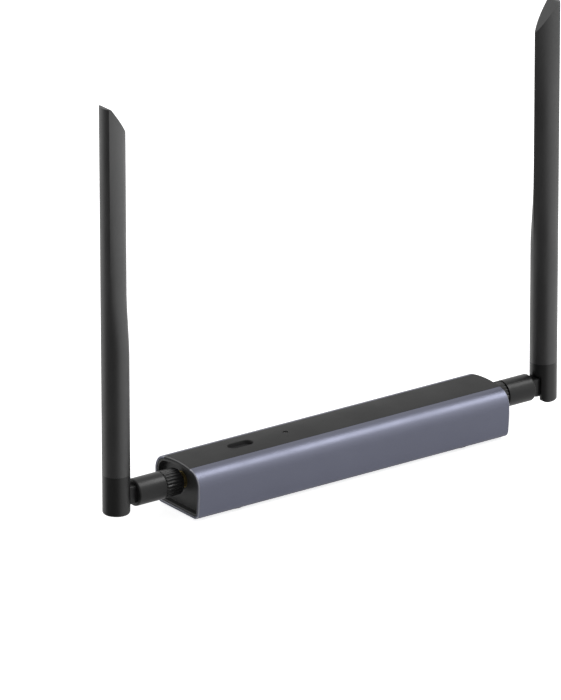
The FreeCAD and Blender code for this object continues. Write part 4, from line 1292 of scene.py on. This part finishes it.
# %% The paper floor
paper_tone, shaded_by, own_glow, mirrored_glow = 0.8, 0.6, 0.8, 0.4
reach = 3.0
floor_mesh = bpy.data.meshes.new("floor")
floor_mesh.from_pydata([(-reach, -reach, 0), (reach, -reach, 0), (reach, reach, 0), (-reach, reach, 0)],
                       [], [(0, 1, 2, 3)])
floor = link("pale_floor", floor_mesh)
paper = bpy.data.materials.new("white_paper")
paper.use_nodes = True
tree = paper.node_tree
tree.nodes.clear()
out = add(tree, "ShaderNodeOutputMaterial")
diffuse = add(tree, "ShaderNodeBsdfDiffuse")
glow = add(tree, "ShaderNodeEmission", {"Color": white})
both = add(tree, "ShaderNodeAddShader")
clear = add(tree, "ShaderNodeBsdfTransparent")
switch = add(tree, "ShaderNodeMixShader")
path = add(tree, "ShaderNodeLightPath")
side_seen = add(tree, "ShaderNodeNewGeometry")
glossy = path.outputs["Is Glossy Ray"]
sees_white = maths(tree, "MULTIPLY", glossy, bright_side(tree, side_seen.outputs["Incoming"], -1))
mirrored = maths(tree, "MAXIMUM", path.outputs["Is Transmission Ray"], sees_white)
darker = maths(tree, "MULTIPLY", maths(tree, "SUBTRACT", glossy, sees_white), shaded_by)
seen_glow = maths(tree, "MULTIPLY", path.outputs["Is Camera Ray"], own_glow)
wire(tree, maths(tree, "SUBTRACT", paper_tone, darker), diffuse.inputs["Color"],
     maths(tree, "ADD", seen_glow, maths(tree, "MULTIPLY", mirrored, mirrored_glow)),
     glow.inputs["Strength"],
     diffuse.outputs[0], both.inputs[0], glow.outputs[0], both.inputs[1],
     side_seen.outputs["Backfacing"], switch.inputs[0], both.outputs[0], switch.inputs[1],
     clear.outputs[0], switch.inputs[2], switch.outputs[0], out.inputs["Surface"])
floor.data.materials.append(paper)
floor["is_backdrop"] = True
print("floor", floor.name, "nodes in its finish", len(tree.nodes))

# %% The white room
room_light = 0.5
world = bpy.data.worlds.new("white_room")
bpy.context.scene.world = world
world.use_nodes = True
tree = world.node_tree
air = tree.nodes["Background"]
air.inputs["Color"].default_value = white
path = add(tree, "ShaderNodeLightPath")
sky = add(tree, "ShaderNodeTexCoord")
mirrored = maths(tree, "MULTIPLY", path.outputs["Is Glossy Ray"],
                 bright_side(tree, sky.outputs["Generated"], 1))
seen = maths(tree, "MAXIMUM", maths(tree, "MAXIMUM", path.outputs["Is Camera Ray"], mirrored),
             path.outputs["Is Transmission Ray"])
wire(tree, maths(tree, "ADD", maths(tree, "MULTIPLY", seen, 1 - room_light), room_light),
     air.inputs["Strength"])
print("room light", room_light)

# %% Lamps
lamp_aim, lamp_distance = Vector((0, 0, 0.06)), 1.5


def softbox(name, direction, size, radiance):
    """A square lamp that faces the middle of the object; its power follows from how bright it looks."""
    lamp = bpy.data.lights.new(name, "AREA")
    lamp.shape = "RECTANGLE"
    lamp.size, lamp.size_y = size
    lamp.energy = radiance * math.pi * size[0] * size[1]
    obj = link(name, lamp)
    towards = Vector(direction).normalized()
    obj.location = lamp_aim + towards * lamp_distance
    obj.rotation_euler = towards.to_track_quat("Z", "Y").to_euler()
    print(name, round(lamp.energy, 1), "W")


softbox("overhead_softbox", (0.55, -0.29, 0.78), (0.7, 0.7), 6.0)
softbox("right_key", (0.80, -0.54, 0.26), (0.6, 0.8), 1.6)
softbox("left_rim", (-0.80, 0.56, 0.14), (0.6, 0.5), 3.0)

# %% [markdown]
# The camera's place was worked out from edges measured in the photograph: a long lens, some 36 degrees
# round to the left of the front and 21 degrees up.

# %% Camera
azimuth, elevation, roll = math.radians(35.936), math.radians(20.84), math.radians(-0.097)
camera_distance, aim_right, aim_up = 3.47286, -18.893 * mm, 45.965 * mm
photo_height, focal_length = 700, 9788.6  # in pixels
back = Vector((-math.sin(azimuth) * math.cos(elevation), -math.cos(azimuth) * math.cos(elevation),
               math.sin(elevation)))
right = Vector((math.cos(azimuth), -math.sin(azimuth), 0))
up = back.cross(right)
turned_right = right * math.cos(roll) + up * math.sin(roll)
turned_up = up * math.cos(roll) - right * math.sin(roll)
aim = turned_right * aim_right + Vector((0, 0, aim_up))
lens = bpy.data.cameras.new("camera")
lens.sensor_fit = "VERTICAL"
lens.sensor_height = 36
lens.lens = lens.sensor_height * focal_length / photo_height
lens.clip_end = 20
camera = link("camera", lens)
spin = Matrix((turned_right, turned_up, back)).transposed()
camera.matrix_world = Matrix.Translation(aim + back * camera_distance) @ spin.to_4x4()
bpy.context.scene.camera = camera
bpy.context.scene.view_settings.view_transform = "Standard"
print("lens", round(lens.lens, 1), "mm")

# %% [markdown]
# ## Sizes at the end
# The dressed object must stay the size of the imported one, so both boxes are written side by side.

# %% Both boxes, side by side
shown_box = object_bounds()
for name, (low, high) in (("packed", cad_box), ("dressed", shown_box)):
    print(name, [round(v / mm, 2) for v in low], [round(v / mm, 2) for v in high])
